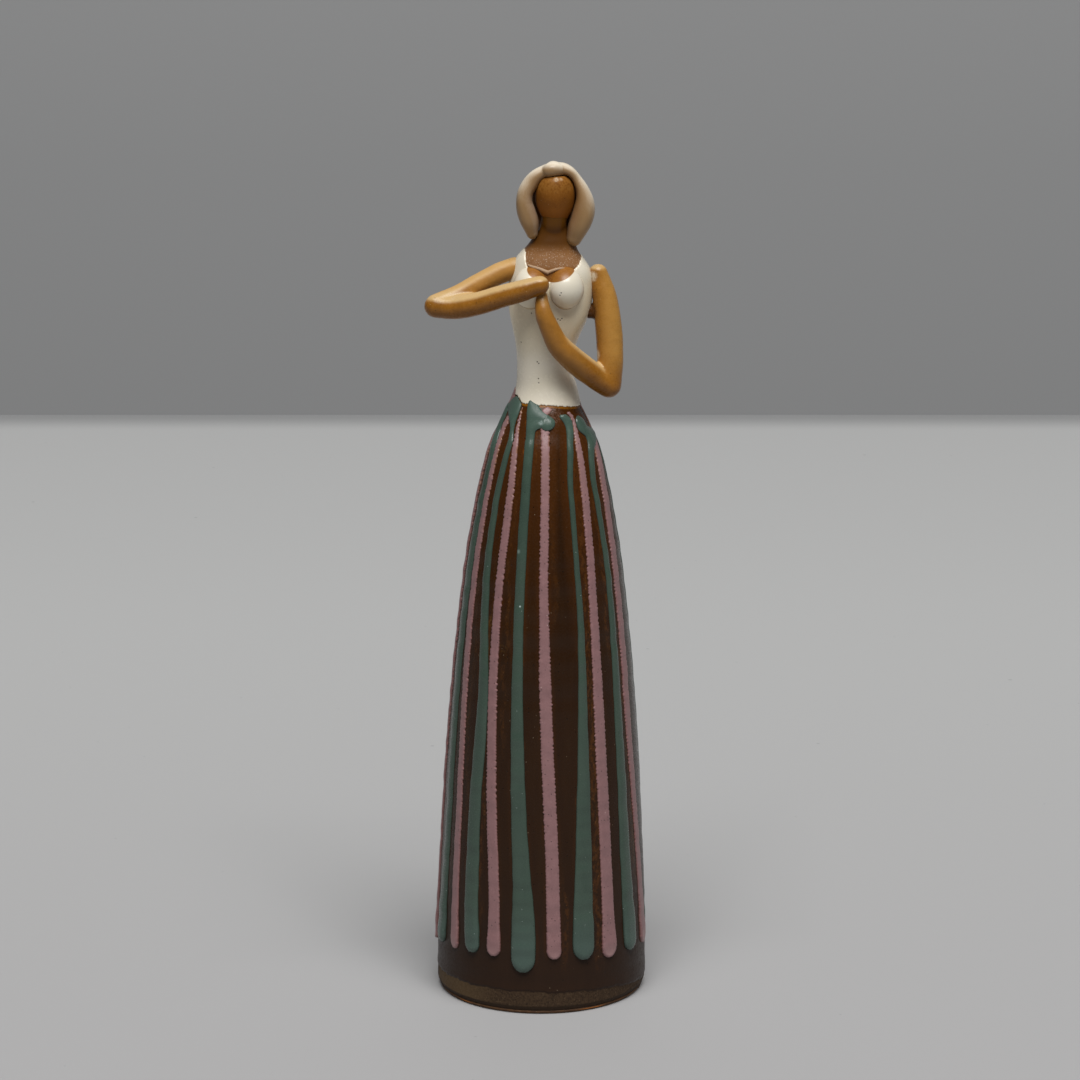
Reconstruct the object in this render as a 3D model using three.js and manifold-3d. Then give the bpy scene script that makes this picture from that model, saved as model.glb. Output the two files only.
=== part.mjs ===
// A standing ceramic figure of a girl: a thrown, hollow skirt on a floor slab, a hollow bodice,
// a neck and chest piece, a blank egg-shaped head, coiled hair and arms, and raised glaze trails.
// Millimetres, +Z up. The origin is the centre of the foot, and the figure faces -Y.
import * as THREE from "three";
import { mergeVertices } from "three/addons/utils/BufferGeometryUtils.js";
import Module from "manifold-3d";

// The gap that is left between two pieces that meet.
const clearance = 0.3;

// Skirt: its outer curve is footRadius at the table and draws in to waistRadius at the waist.
const skirtHeight = 201.5;
const footRadius = 35.4;
const waistRadius = 11.0;
const skirtWall = 4.2;
const skirtFullness = 1.52;
const skirtRounding = 0.35;
const lean = 0.0052; // the figure's drift towards +X for each millimetre of height

// Foot: a bevel under the skirt's wall, and the slab that closes the hollow from below.
const bevelHeight = 2.8;
const bevelDepth = 1.4;
const slabRim = 1.2; // thickness of the slab's edge, which shows under the bevel
const slabRise = 2.6; // height of the slab's middle above its edge, inside the skirt
const ventRadius = 1.5; // the pricked hole that lets air out in the kiln
const ventOffset = 11; // how far behind the middle the hole is

// Waist joint: the bodice's round spigot drops into a socket in the skirt's collar.
const spigotRadius = 6.6;
const spigotLength = 7.5;
const spigotWall = 2.2;
const collarHeight = 8.8; // thickness of the skirt's top round the socket
const collarSlope = 3.2; // how far the collar's underside slopes down to the wall

// Torso and neck above the waist: height, sideways centre, half width and half depth.
const waistSetback = 0.1; // how far the bodice's foot stands in from the skirt's edge at its sides
const waistHalfDepth = 10.4;
const neckCentre = 3.2;
const torsoSections = [
  [clearance, 0.3, waistRadius - waistSetback, waistHalfDepth],
  [4, 0.4, 9.9, 8.9],
  [11, -0.6, 8.7, 7.6],
  [19, 0.5, 9.9, 7.9],
  [29, 1.5, 12.9, 8.7],
  [38, 1.85, 13.6, 9.1],
  [43.5, 2.1, 12.5, 8.4],
  [47.5, 1.7, 10.4, 7.2],
  [50.5, 2.1, 8, 5.9],
  [53.7, 2.7, 6.2, 4.8],
  [56, 3, 4.2, 3.9],
  [58.8, neckCentre, 3.2, 3.3],
];
const bodiceWall = 3;
const bodiceFloor = 3; // clay left at the bodice's foot, round the bore in its spigot
const hollowTop = 33; // how far the bodice's hollow reaches above the waist

// Neckline: a scoop with a half-elliptical bottom that parts the bodice from the chest.
const scoopCentre = 3.25;
const scoopHalfWidth = 9.7;
const scoopSpring = 49.5;
const scoopDepth = 9;

// Head: a smooth egg, wider at the brow than at the chin. Height, half width and half depth.
const headShift = 0.15; // from the neck's middle to the head's
const headForward = 1;
const headSections = [
  [59.2, 2.4, 2.6],
  [60.4, 4.3, 4.5],
  [62.2, 5.5, 5.7],
  [66, 6.4, 6.6],
  [69.4, 6.35, 6.6],
  [72.2, 5.1, 5.4],
  [73.8, 2.9, 3.2],
];

// Breast pads: two low domes luted side by side on the chest.
const padHeight = 38.4;
const padSpread = 5.8;
const padCentre = 1.15;
const padHalfWidth = 5.3;
const padHalfHeight = 6.3;
const padThickness = 3.6;

// Limbs and hair: stops along each coil as sideways, forward, up and radius, above the waist.
const rightUpperArm = [
  [-10, 0.5, 44.3, 3.2],
  [-15, -1.5, 42.4, 3.3],
  [-22.1, -4, 39.3, 3.3],
  [-29, -6.3, 36, 3.5],
  [-34.8, -8, 32.4, 3.7],
];
const rightForearm = [
  [-34.8, -8, 32.2, 3.7],
  [-29, -9.2, 32.4, 3.8],
  [-22, -10.7, 33.9, 3.7],
  [-14.4, -12.2, 36.5, 3.5],
  [-7.1, -13.5, 39, 3.2],
  [-1, -14, 41, 2.8],
];
const leftUpperArm = [
  [17, 0, 41.2, 2.9],
  [19.1, -1, 34.2, 3.7],
  [20.1, -2, 27.6, 4.2],
  [21, -3, 20.1, 4.4],
  [21.2, -4, 13.7, 4.2],
  [20.9, -5, 6, 4.2],
];
const leftForearm = [
  [20.9, -5, 6, 4.2],
  [16.3, -7, 9.2, 4.1],
  [11.7, -9.6, 13, 4.1],
  [7.1, -12, 17.2, 3.9],
  [3.9, -13.3, 21, 3.6],
  [1.5, -14, 26, 3.2],
  [-0.3, -14, 30.6, 2.8],
  [-1.1, -12.9, 34.2, 2],
  [-1.3, -11.9, 36.4, 1.3],
];
const hairRoll = [
  [0.7, -3.8, 76.3, 2.1],
  [2, -4.4, 76.7, 2.45],
  [3.3, -3.8, 76.4, 2.1],
];
const rightLock = [
  [-0.4, 0, 75.3, 2],
  [-2.6, -0.3, 74.1, 2.3],
  [-5, -1, 71, 2.8],
  [-6.4, -1.8, 66.3, 2.9],
  [-6, -2, 62.6, 3.1],
  [-5, -1.9, 59.2, 3],
  [-4.8, -1.8, 56.2, 1.9],
];
const leftLock = [
  [5, 0, 75.7, 2],
  [8, -0.3, 74.4, 2.2],
  [10.9, -1, 71.4, 2.5],
  [12.9, -1.8, 66.3, 3.3],
  [12.3, -2, 61.4, 3.75],
  [10.7, -1.9, 57.2, 3.6],
  [9.3, -1.8, 53.6, 2.5],
];
const backHair = [
  [3.3, 4.2, 71.5, 7],
  [3.3, 5.4, 66, 8.4],
  [3.3, 5.2, 60, 7.4],
];
const lockDepth = 1.4; // a lock's depth from front to back against its width
const backHairDepth = 0.62;

// Glaze trails on the front, from the figure's right round to its left. Azimuths in degrees and
// widths are given at the four shares of the skirt's height in trailShares, and end is the height
// of the trail's lower tip.
const trailShares = [0.97, 0.74, 0.44, 0.15];
const frontTrails = [
  { glaze: "pink", azimuths: [-84, -84, -84, -82], widths: [2, 2.5, 3, 3.2], end: 20 },
  { glaze: "green", azimuths: [-70, -70, -69, -66], widths: [2, 3, 3.5, 4.6], end: 18 },
  { glaze: "pink", azimuths: [-58, -60, -57, -54], widths: [1.9, 3, 3, 3], end: 18 },
  { glaze: "green", azimuths: [-45, -46, -41, -41], widths: [2, 3.4, 4.8, 5.8], end: 19.5 },
  { glaze: "pink", azimuths: [-31, -33, -33, -27], widths: [1.8, 2.8, 3.6, 3.8], end: 19.5 },
  { glaze: "green", azimuths: [-17, -16, -15, -9.5], widths: [2.2, 3.2, 4.4, 7.4], end: 15 },
  { glaze: "pink", azimuths: [0, 0, 2.5, 7], widths: [2, 2.8, 4, 4.5], end: 20 },
  { glaze: "green", azimuths: [25, 25, 24, 23.5], widths: [1.8, 2.2, 3.6, 7.2], end: 19 },
  { glaze: "pink", azimuths: [39, 37, 36.5, 39], widths: [1.8, 2.7, 4.2, 5], end: 18 },
  { glaze: "green", azimuths: [53, 53, 53, 56], widths: [2, 2.8, 4, 6], end: 18 },
  { glaze: "pink", azimuths: [68, 65, 65, 72], widths: [2, 3, 3.6, 4.4], end: 16 },
  { glaze: "green", azimuths: [84, 82, 82, 87], widths: [2, 3, 3.5, 4], end: 18 },
];
// The back carries on at an even pitch with the two glazes in turn.
const backTrailCount = 12;
const backTrailWidths = { pink: [2, 2.8, 3.8, 4.4], green: [2, 2.9, 4.2, 6.4] };
const backTrailEnds = [19, 16.5, 20.5, 18];
const trailTop = 3.8; // how far below the waist a trail starts
const trailThickness = { pink: 0.6, green: 0.9 };
// A trail's section: how far across its half width and how far out of its thickness.
const trailSection = [[-1, 0], [-0.65, 0.8], [0, 1], [0.65, 0.8], [1, 0]];
const trailTips = [0.04, 0.35, 1]; // where the sections of a round end are, as shares of its length
const trailTipRoom = 1.2; // the stretch at an end that takes no other section, as such a share

// Facets: round parts have these numbers of sides and steps.
const skirtSides = 56;
const skirtSteps = 12;
const skirtCrowding = 1.8; // above 1, the skirt's rings crowd towards the waist
const formSides = 14;
const formSteps = 2; // sections from one stop to the next
const torsoSides = 24;
const barSides = 32;
const padSides = 18;
const padRings = 10;
const scoopSegments = 24;
const domeAngles = [20, 55]; // where the sections of a form's round end are, in degrees from its tip

const colours = {
  brown: { color: "#3a2719", roughness: 0.25, metalness: 0 },
  bare: { color: "#4a3a2b", roughness: 0.9, metalness: 0 },
  white: { color: "#cfc6b4", roughness: 0.25, metalness: 0 },
  skin: { color: "#a9773a", roughness: 0.3, metalness: 0 },
  hair: { color: "#d9c7ae", roughness: 0.35, metalness: 0 },
  pink: { color: "#9c7676", roughness: 0.45, metalness: 0 },
  green: { color: "#51695c", roughness: 0.2, metalness: 0 },
};

const wasm = await Module();
wasm.setup();

const mergeDistance = 1e-3;
const degrees = Math.PI / 180;

// A closed geometry as a solid that can be joined and cut.
function solidFrom(geometry) {
  const bare = geometry.clone();
  bare.deleteAttribute("normal");
  bare.deleteAttribute("uv");
  const merged = mergeVertices(bare, mergeDistance);
  return new wasm.Manifold(
    new wasm.Mesh({
      numProp: 3,
      vertProperties: new Float32Array(merged.attributes.position.array),
      triVerts: new Uint32Array(merged.index.array),
    }),
  );
}

function geometryFrom(solid) {
  const mesh = solid.getMesh();
  const geometry = new THREE.BufferGeometry();
  geometry.setAttribute("position", new THREE.BufferAttribute(mesh.vertProperties, mesh.numProp));
  geometry.setIndex(new THREE.BufferAttribute(mesh.triVerts, 1));
  geometry.computeVertexNormals();
  return geometry;
}

function piece(name, geometry, colour) {
  const mesh = new THREE.Mesh(geometry, new THREE.MeshStandardMaterial(colours[colour]));
  mesh.name = name;
  return mesh;
}

// Joins rings of points into one closed skin. Each end closes to the middle of its ring.
function skinOver(rings) {
  const sides = rings[0].length;
  const points = rings.flat();
  const first = points.length;
  points.push(middleOf(rings[0]), middleOf(rings.at(-1)));
  const faces = [];
  for (let side = 0; side < sides; side++) {
    const next = (side + 1) % sides;
    for (let ring = 0; ring + 1 < rings.length; ring++) {
      const low = ring * sides;
      const high = low + sides;
      faces.push(low + side, low + next, high + next);
      faces.push(low + side, high + next, high + side);
    }
    const last = (rings.length - 1) * sides;
    faces.push(first, next, side);
    faces.push(first + 1, last + side, last + next);
  }
  const geometry = new THREE.BufferGeometry().setFromPoints(points);
  geometry.setIndex(faces);
  return geometry;
}

function middleOf(ring) {
  const sum = ring.reduce((total, point) => total.add(point), new THREE.Vector3());
  return sum.divideScalar(ring.length);
}

// A rounded form along a smooth path. A stop is [x, y, z, half width, half depth].
// Sections stand square to the path, with their width in the XZ plane.
function form(stops, { grow = 0, sides = formSides, round = true } = {}) {
  const centres = stops.map(([x, y, z]) => new THREE.Vector3(x, y, z));
  const path = new THREE.CatmullRomCurve3(centres, false, "centripetal");
  const sizes = new THREE.CatmullRomCurve3(
    stops.map((stop) => new THREE.Vector3(stop[3], stop[4], 0)),
    false,
    "centripetal",
  );
  const count = formSteps * (stops.length - 1);
  const rings = [];
  // shift moves a section along the path and shrink scales it, for the round ends
  const addRing = (share, shift, shrink) => {
    const tangent = path.getTangent(share);
    const across = new THREE.Vector3().crossVectors(tangent, new THREE.Vector3(0, 1, 0)).normalize();
    const front = new THREE.Vector3().crossVectors(across, tangent).normalize();
    const size = sizes.getPoint(share);
    const centre = path.getPoint(share).addScaledVector(tangent, shift * (size.x + grow));
    const ring = [];
    for (let side = 0; side < sides; side++) {
      const turn = (2 * Math.PI * side) / sides;
      const point = centre.clone();
      point.addScaledVector(across, -Math.cos(turn) * (size.x + grow) * shrink);
      point.addScaledVector(front, Math.sin(turn) * (size.y + grow) * shrink);
      ring.push(point);
    }
    rings.push(ring);
  };
  const domes = round ? domeAngles : [];
  domes.forEach((angle) => {
    addRing(0, -Math.cos(angle * degrees), Math.sin(angle * degrees));
  });
  for (let step = 0; step <= count; step++) addRing(step / count, 0, 1);
  domes.toReversed().forEach((angle) => {
    addRing(1, Math.cos(angle * degrees), Math.sin(angle * degrees));
  });
  return solidFrom(skinOver(rings));
}

// A coil of clay: stops of [x, y, z, radius], with depth as a share of the width.
function coil(stops, { grow = 0, depth = 1 } = {}) {
  const sections = stops.map(([x, y, z, radius]) => [x, y, z, radius, radius * depth]);
  return form(sections, { grow });
}

// The skirt's outer radius at a height, on a curve that would close a little above the waist.
const waistShare = (waistRadius / footRadius) ** (1 / skirtRounding);
const curveTip = skirtHeight / (1 - waistShare) ** (1 / skirtFullness);

function skirtRadius(height) {
  return footRadius * (1 - (height / curveTip) ** skirtFullness) ** skirtRounding;
}

// How much the skirt's radius shrinks for each millimetre of height.
function skirtSlope(height) {
  const step = 0.5;
  return (skirtRadius(height - step) - skirtRadius(height + step)) / (2 * step);
}

// Heights of the skirt's rings, closer together towards the waist, where it curves most.
function skirtHeights() {
  const heights = [];
  for (let step = 0; step <= skirtSteps; step++) {
    const share = 1 - (1 - step / skirtSteps) ** skirtCrowding;
    heights.push(bevelHeight + share * (skirtHeight - bevelHeight));
  }
  return heights;
}

function leanOver(geometry) {
  return geometry.applyMatrix4(new THREE.Matrix4().makeShear(0, 0, 0, 0, lean, 0));
}

function turned(profile) {
  const points = profile.map(([radius, height]) => new THREE.Vector2(radius, height));
  return new THREE.LatheGeometry(points, skirtSides).rotateX(Math.PI / 2);
}

function roundBar(radius, low, high) {
  const cylinder = new THREE.CylinderGeometry(radius, radius, high - low, barSides);
  cylinder.rotateX(Math.PI / 2).translate(0, 0, (low + high) / 2);
  return solidFrom(cylinder);
}

const footInside = skirtRadius(bevelHeight) - skirtWall;
const slabHeight = slabRim + slabRise;

function skirt() {
  const foot = slabRim + clearance;
  const socketRadius = spigotRadius + clearance;
  const collarFloor = skirtHeight - collarHeight;
  const ceiling = collarFloor - collarSlope;
  const outside = skirtHeights().map((height) => [skirtRadius(height), height]);
  // below the collar the hollow follows the outside, a wall's thickness in
  const inside = skirtHeights()
    .filter((height) => height > slabHeight + skirtWall && height < ceiling - skirtWall)
    .map((height) => [skirtRadius(height) - skirtWall, height]);
  const profile = [
    [footInside, foot],
    [footRadius - bevelDepth * (1 - foot / bevelHeight), foot],
    ...outside,
    [socketRadius, skirtHeight],
    [socketRadius, collarFloor],
    [skirtRadius(ceiling) - skirtWall, ceiling],
    ...inside.toReversed(),
    [footInside, slabHeight + clearance],
    [footInside, foot],
  ];
  return leanOver(turned(profile));
}

function floorSlab() {
  const rimRadius = footRadius - bevelDepth;
  const plugRadius = footInside - clearance;
  const slab = turned([
    [0, 0],
    [rimRadius, 0],
    [rimRadius + (bevelDepth * slabRim) / bevelHeight, slabRim],
    [plugRadius, slabRim],
    [plugRadius, slabHeight],
    [0, slabHeight],
  ]);
  const vent = roundBar(ventRadius, -slabHeight, 2 * slabHeight).translate([0, ventOffset, 0]);
  return leanOver(geometryFrom(solidFrom(slab).subtract(vent)));
}

// The whole torso and neck as one form, which the neckline then parts into two pieces.
function torso(options) {
  const stops = torsoSections.map(([up, centre, width, depth]) => [centre, 0, up, width, depth]);
  return form(stops, { sides: torsoSides, round: false, ...options });
}

// The torso's centre, half width and half depth at a height above the waist.
function torsoAt(up) {
  const above = torsoSections.findIndex((section) => section[0] >= up);
  const [low, high] = [torsoSections[above - 1], torsoSections[above]];
  const share = (up - low[0]) / (high[0] - low[0]);
  const [, centre, width, depth] = low.map((value, i) => value + share * (high[i] - value));
  return { centre, width, depth };
}

// Everything inside the neckline, reaching up past the neck.
function scoop(grow) {
  const outline = new THREE.Shape();
  const halfWidth = scoopHalfWidth + grow;
  outline.absellipse(scoopCentre, scoopSpring, halfWidth, scoopDepth + grow, Math.PI, 2 * Math.PI);
  outline.lineTo(scoopCentre + halfWidth, scoopSpring + 2 * scoopDepth);
  outline.lineTo(scoopCentre - halfWidth, scoopSpring + 2 * scoopDepth);
  const reach = 2 * torsoAt(scoopSpring - scoopDepth).depth; // well clear of the chest and back
  const block = new THREE.ExtrudeGeometry(outline, {
    depth: 2 * reach,
    bevelEnabled: false,
    curveSegments: scoopSegments,
  });
  block.rotateX(Math.PI / 2).translate(0, reach, 0);
  return solidFrom(block);
}

function bodice() {
  const between = torsoSections
    .map(([up]) => up)
    .filter((up) => up > bodiceFloor && up < hollowTop);
  const hollow = [bodiceFloor, ...between, hollowTop].map((up) => {
    const { centre, width, depth } = torsoAt(up);
    return [centre, 0, up, width - bodiceWall, depth - bodiceWall];
  });
  const bore = roundBar(spigotRadius - spigotWall, -2 * spigotLength, bodiceFloor + bodiceWall);
  return torso()
    .add(roundBar(spigotRadius, -spigotLength, bodiceFloor / 2))
    .subtract(scoop(clearance))
    .subtract(form(hollow, { round: false }))
    .subtract(bore);
}

function head(grow = 0) {
  const across = neckCentre + headShift;
  const stops = headSections.map(([up, width, depth]) => [across, -headForward, up, width, depth]);
  return form(stops, { grow });
}

function pad(side, grow = 0) {
  const across = padCentre + side * padSpread;
  const { centre, width, depth } = torsoAt(padHeight);
  // the point of the torso's oval section under the pad's middle
  const out = depth * Math.sqrt(1 - ((across - centre) / width) ** 2);
  const dome = new THREE.SphereGeometry(1, padSides, padRings);
  dome.scale(padHalfWidth + grow, padThickness + grow, padHalfHeight + grow);
  dome.translate(across, -out, padHeight);
  return solidFrom(dome);
}

function rightArmForm(grow = 0) {
  return coil(rightUpperArm, { grow }).add(coil(rightForearm, { grow }));
}

function leftArmForm() {
  return coil(leftUpperArm).add(coil(leftForearm));
}

// Value at a height from four values at the heights of trailShares.
function alongTrail(values, height) {
  const share = height / skirtHeight;
  let span = 0;
  while (span < values.length - 2 && share < trailShares[span + 1]) span++;
  const part = (trailShares[span] - share) / (trailShares[span] - trailShares[span + 1]);
  const held = Math.min(1, Math.max(0, part));
  return values[span] + held * (values[span + 1] - values[span]);
}

// A bead of glaze that runs down the skirt, with a flat inner side and round ends.
function trail({ azimuths, widths, end, glaze }) {
  const top = skirtHeight - trailTop;
  const topRound = widths[0] / 2;
  const endRound = widths.at(-1) / 2;
  const roundAt = (height) => {
    const low = Math.min(1, (height - end) / endRound);
    const high = Math.min(1, (top - height) / topRound);
    return Math.sqrt(1 - (1 - low) ** 2) * Math.sqrt(1 - (1 - high) ** 2);
  };
  const lowest = end + trailTipRoom * endRound;
  const highest = top - trailTipRoom * topRound;
  const heights = [
    ...trailTips.map((share) => end + share * endRound),
    ...skirtHeights().filter((height) => height > lowest && height < highest),
    ...trailTips.toReversed().map((share) => top - share * topRound),
  ];
  const rings = heights.map((height) => {
    const radius = skirtRadius(height);
    const outward = Math.hypot(1, skirtSlope(height)); // keeps the bead square to the wall
    const azimuth = alongTrail(azimuths, height) * degrees;
    const half = (alongTrail(widths, height) / 2) * roundAt(height);
    const thick = trailThickness[glaze] * Math.sqrt(roundAt(height));
    return trailSection.map(([across, out]) => {
      const turn = azimuth + (across * half) / radius;
      const reach = radius + (clearance + out * thick) * outward;
      const x = reach * Math.sin(turn) + lean * height;
      return new THREE.Vector3(x, -reach * Math.cos(turn), height);
    });
  });
  return skinOver(rings);
}

function backTrails() {
  const first = frontTrails.at(-1).azimuths;
  const last = frontTrails[0].azimuths;
  return Array.from({ length: backTrailCount }, (_, i) => {
    const glaze = i % 2 ? "green" : "pink";
    const share = (i + 1) / (backTrailCount + 1);
    return {
      glaze,
      azimuths: first.map((azimuth, k) => azimuth + share * (last[k] + 360 - azimuth)),
      widths: backTrailWidths[glaze],
      end: backTrailEnds[i % backTrailEnds.length],
    };
  });
}

const figure = new THREE.Group();
figure.add(piece("skirt", skirt(), "brown"));
figure.add(piece("floor_slab", floorSlab(), "bare"));
[...frontTrails, ...backTrails()].forEach((spec, i) => {
  const number = String(i + 1).padStart(2, "0");
  figure.add(piece(`${spec.glaze}_trail_${number}`, trail(spec), spec.glaze));
});

// Everything above the waist is modelled from the middle of the skirt's top.
const upper = new THREE.Group();
upper.position.set(lean * skirtHeight, 0, skirtHeight);
figure.add(upper);

const torsoRoom = torso({ grow: clearance });
const headRoom = head(clearance);
const [toRight, toLeft] = [-1, 1]; // the figure's own sides along X
const padRoom = pad(toRight, clearance).add(pad(toLeft, clearance));
const chestRoom = torsoRoom.add(padRoom);
const rollRoom = coil(hairRoll, { grow: clearance });
const lockOptions = { depth: lockDepth };
const lockRoomOptions = { depth: lockDepth, grow: clearance };
const locksRoom = coil(rightLock, lockRoomOptions).add(coil(leftLock, lockRoomOptions));
const neckRoom = torsoRoom.add(headRoom);

const upperPieces = {
  bodice: [bodice(), "white"],
  neck_and_chest: [torso().intersect(scoop(0)).subtract(headRoom), "skin"],
  head: [head(), "skin"],
  right_breast_pad: [pad(toRight).subtract(torsoRoom), "white"],
  left_breast_pad: [
    pad(toLeft).subtract(torsoRoom).subtract(pad(toRight, clearance)),
    "white",
  ],
  right_arm: [rightArmForm().subtract(chestRoom), "skin"],
  left_arm: [leftArmForm().subtract(chestRoom).subtract(rightArmForm(clearance)), "skin"],
  hair_front_roll: [coil(hairRoll).subtract(headRoom), "hair"],
  hair_right_lock: [coil(rightLock, lockOptions).subtract(neckRoom).subtract(rollRoom), "hair"],
  hair_left_lock: [
    coil(leftLock, lockOptions)
      .subtract(neckRoom)
      .subtract(rollRoom)
      .subtract(coil(rightLock, lockRoomOptions)),
    "hair",
  ],
  hair_back: [
    coil(backHair, { depth: backHairDepth })
      .subtract(neckRoom)
      .subtract(rollRoom)
      .subtract(locksRoom),
    "hair",
  ],
};
for (const [name, [solid, colour]] of Object.entries(upperPieces)) {
  upper.add(piece(name, geometryFrom(solid), colour));
}

export default figure;
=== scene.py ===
import math
import random

import bmesh
import bpy
import numpy as np
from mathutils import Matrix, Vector, kdtree, noise


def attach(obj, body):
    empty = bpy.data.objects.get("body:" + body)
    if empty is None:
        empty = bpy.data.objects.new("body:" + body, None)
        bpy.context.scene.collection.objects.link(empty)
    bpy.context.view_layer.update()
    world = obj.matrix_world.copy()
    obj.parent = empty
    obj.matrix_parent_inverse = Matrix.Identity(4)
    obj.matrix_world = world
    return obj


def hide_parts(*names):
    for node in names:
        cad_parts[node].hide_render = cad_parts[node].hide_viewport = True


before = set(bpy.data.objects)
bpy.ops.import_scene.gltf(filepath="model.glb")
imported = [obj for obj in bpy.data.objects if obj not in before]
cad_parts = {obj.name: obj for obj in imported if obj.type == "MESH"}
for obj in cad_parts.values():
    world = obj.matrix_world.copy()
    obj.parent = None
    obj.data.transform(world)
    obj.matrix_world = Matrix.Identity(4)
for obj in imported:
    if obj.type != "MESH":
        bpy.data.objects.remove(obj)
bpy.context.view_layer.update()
print("frame:", len(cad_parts), "nodes")

# All shapes are worked out in millimetres, +Z up, with the figure facing -Y.
# Azimuths are in degrees: 0 is the front and +90 the figure's left, which is +X.
mm = 0.001
waist = 201.5  # height of the skirt's top edge
lean = 0.006  # drift towards +X for each millimetre of height
upperShift = lean * waist



def smooth(low, high, value):
    # 0 at low, 1 at high and smooth between them; high may be the lower number
    share = np.clip((value - low) / (high - low), 0, 1)
    return share * share * (3 - 2 * share)


def smoothTable(rows):
    # a smooth curve through rows of [where, value, value...]
    rows = np.array(sorted(rows), float)
    where, values = rows[:, 0], rows[:, 1:]
    slopes = np.gradient(values, where, axis=0)

    def at(asked):
        asked = np.clip(np.asarray(asked, float), where[0], where[-1])
        low = np.clip(np.searchsorted(where, asked, side="right") - 1, 0, len(where) - 2)
        span = where[low + 1] - where[low]
        share = ((asked - where[low]) / span)[..., None]
        span = span[..., None]
        first = values[low] * (1 + 2 * share) * (1 - share) ** 2
        first = first + slopes[low] * span * share * (1 - share) ** 2
        second = values[low + 1] * share**2 * (3 - 2 * share)
        second = second - slopes[low + 1] * span * share**2 * (1 - share)
        return np.moveaxis(first + second, -1, 0)

    return at


def roundTable(rows):
    # the same for [azimuth, value] rows that go once round the figure
    rows = sorted(rows)
    before = [(row[0] - 360, row[1]) for row in rows[-3:]]
    after = [(row[0] + 360, row[1]) for row in rows[:3]]
    table = smoothTable(before + rows + after)
    return lambda azimuth: table((np.asarray(azimuth, float) + 180) % 360 - 180)[0]


def throughStops(stops, perSpan):
    # a centripetal spline through stops whose first three numbers are a place
    rows = np.array(stops, float)
    rows = np.vstack([2 * rows[0] - rows[1], rows, 2 * rows[-1] - rows[-2]])
    knots = np.concatenate([[0], np.cumsum(np.linalg.norm(np.diff(rows[:, :3], axis=0), axis=1) ** 0.5)])
    made = []
    for i in range(1, len(rows) - 2):
        a, b, c, d = knots[i - 1 : i + 3]
        p, q, r, s = rows[i - 1 : i + 3]
        for t in b + (c - b) * np.arange(perSpan) / perSpan:
            pq = p + (q - p) * (t - a) / (b - a)
            qr = q + (r - q) * (t - b) / (c - b)
            rs = r + (s - r) * (t - c) / (d - c)
            early = pq + (qr - pq) * (t - a) / (c - a)
            late = qr + (rs - qr) * (t - b) / (d - b)
            made.append(early + (late - early) * (t - b) / (c - b))
    made.append(rows[-2])
    return np.array(made)


def ripple(seed, *periods):
    # a seeded sum of waves, about 1 high, that makes an edge or a wall waver
    dice = random.Random(seed)
    waves = []
    for period in periods:
        for _ in range(2):
            waves.append((2 * math.pi / (period * dice.uniform(0.8, 1.25)), dice.uniform(0, 6.3)))
    return lambda where: sum(np.sin(pace * where + start) for pace, start in waves) / math.sqrt(len(waves))


def softened(values, reach):
    # a running mean over reach rows to each side
    padded = np.concatenate([np.full(reach, values[0]), values, np.full(reach, values[-1])])
    return np.convolve(padded, np.ones(2 * reach + 1) / (2 * reach + 1), "valid")


# a shape is a pair: its points, in millimetres, and its faces


def ringFaces(ringCount, sides, closed=False):
    # quads between rings of points; closed joins the last ring to the first
    ring = np.arange(ringCount if closed else ringCount - 1)[:, None]
    side = np.arange(sides)[None, :]
    nextRing = (ring + 1) % ringCount
    nextSide = (side + 1) % sides
    corners = (
        ring * sides + side, ring * sides + nextSide, nextRing * sides + nextSide, nextRing * sides + side,
    )
    return np.stack(np.broadcast_arrays(*corners), -1).reshape(-1, 4).tolist()


def looped(rings):
    # a closed tube of rings, such as a hollow wall
    rings = np.asarray(rings)
    return rings.reshape(-1, 3), ringFaces(rings.shape[0], rings.shape[1], closed=True)


def capped(rings):
    # stacked rings with a tip at each end
    rings = np.asarray(rings)
    count, sides, _ = rings.shape
    points = np.vstack([rings.reshape(-1, 3), rings[0].mean(0), rings[-1].mean(0)])
    faces = ringFaces(count, sides)
    last = (count - 1) * sides
    for side in range(sides):
        following = (side + 1) % sides
        faces.append([count * sides, following, side])
        faces.append([count * sides + 1, last + side, last + following])
    return points, faces


def form(stops, sides=48, perSpan=10, square=1.0):
    # a rounded form along stops of [x, y, up, half width, half depth] from the waist; a lower
    # square draws its section towards a box
    rows = throughStops([(*stop, stop[3]) if len(stop) == 4 else stop for stop in stops], perSpan)
    centres = rows[:, :3] + (upperShift, 0, waist)
    tangents = np.gradient(centres, axis=0)
    tangents /= np.linalg.norm(tangents, axis=1)[:, None]
    turn = np.linspace(0, 2 * math.pi, sides, endpoint=False)[:, None]

    def ring(i, shift, shrink):
        across = np.cross(tangents[i], (0, 1, 0))
        across /= np.linalg.norm(across)
        front = np.cross(across, tangents[i])
        sideways = np.sign(np.cos(turn)) * np.abs(np.cos(turn)) ** square
        forwards = np.sign(np.sin(turn)) * np.abs(np.sin(turn)) ** square
        out = across * sideways * rows[i, 3] + front * forwards * rows[i, 4]
        return centres[i] + tangents[i] * shift * rows[i, 3] + out * shrink

    domes = np.radians([5, 14, 26, 38, 50, 62, 76])  # angles of the rings that round off an end
    rings = [ring(0, -math.cos(a), math.sin(a)) for a in domes]
    rings += [ring(i, 0, 1) for i in range(len(rows))]
    rings += [ring(-1, math.cos(a), math.sin(a)) for a in domes[::-1]]
    return capped(rings)


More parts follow.
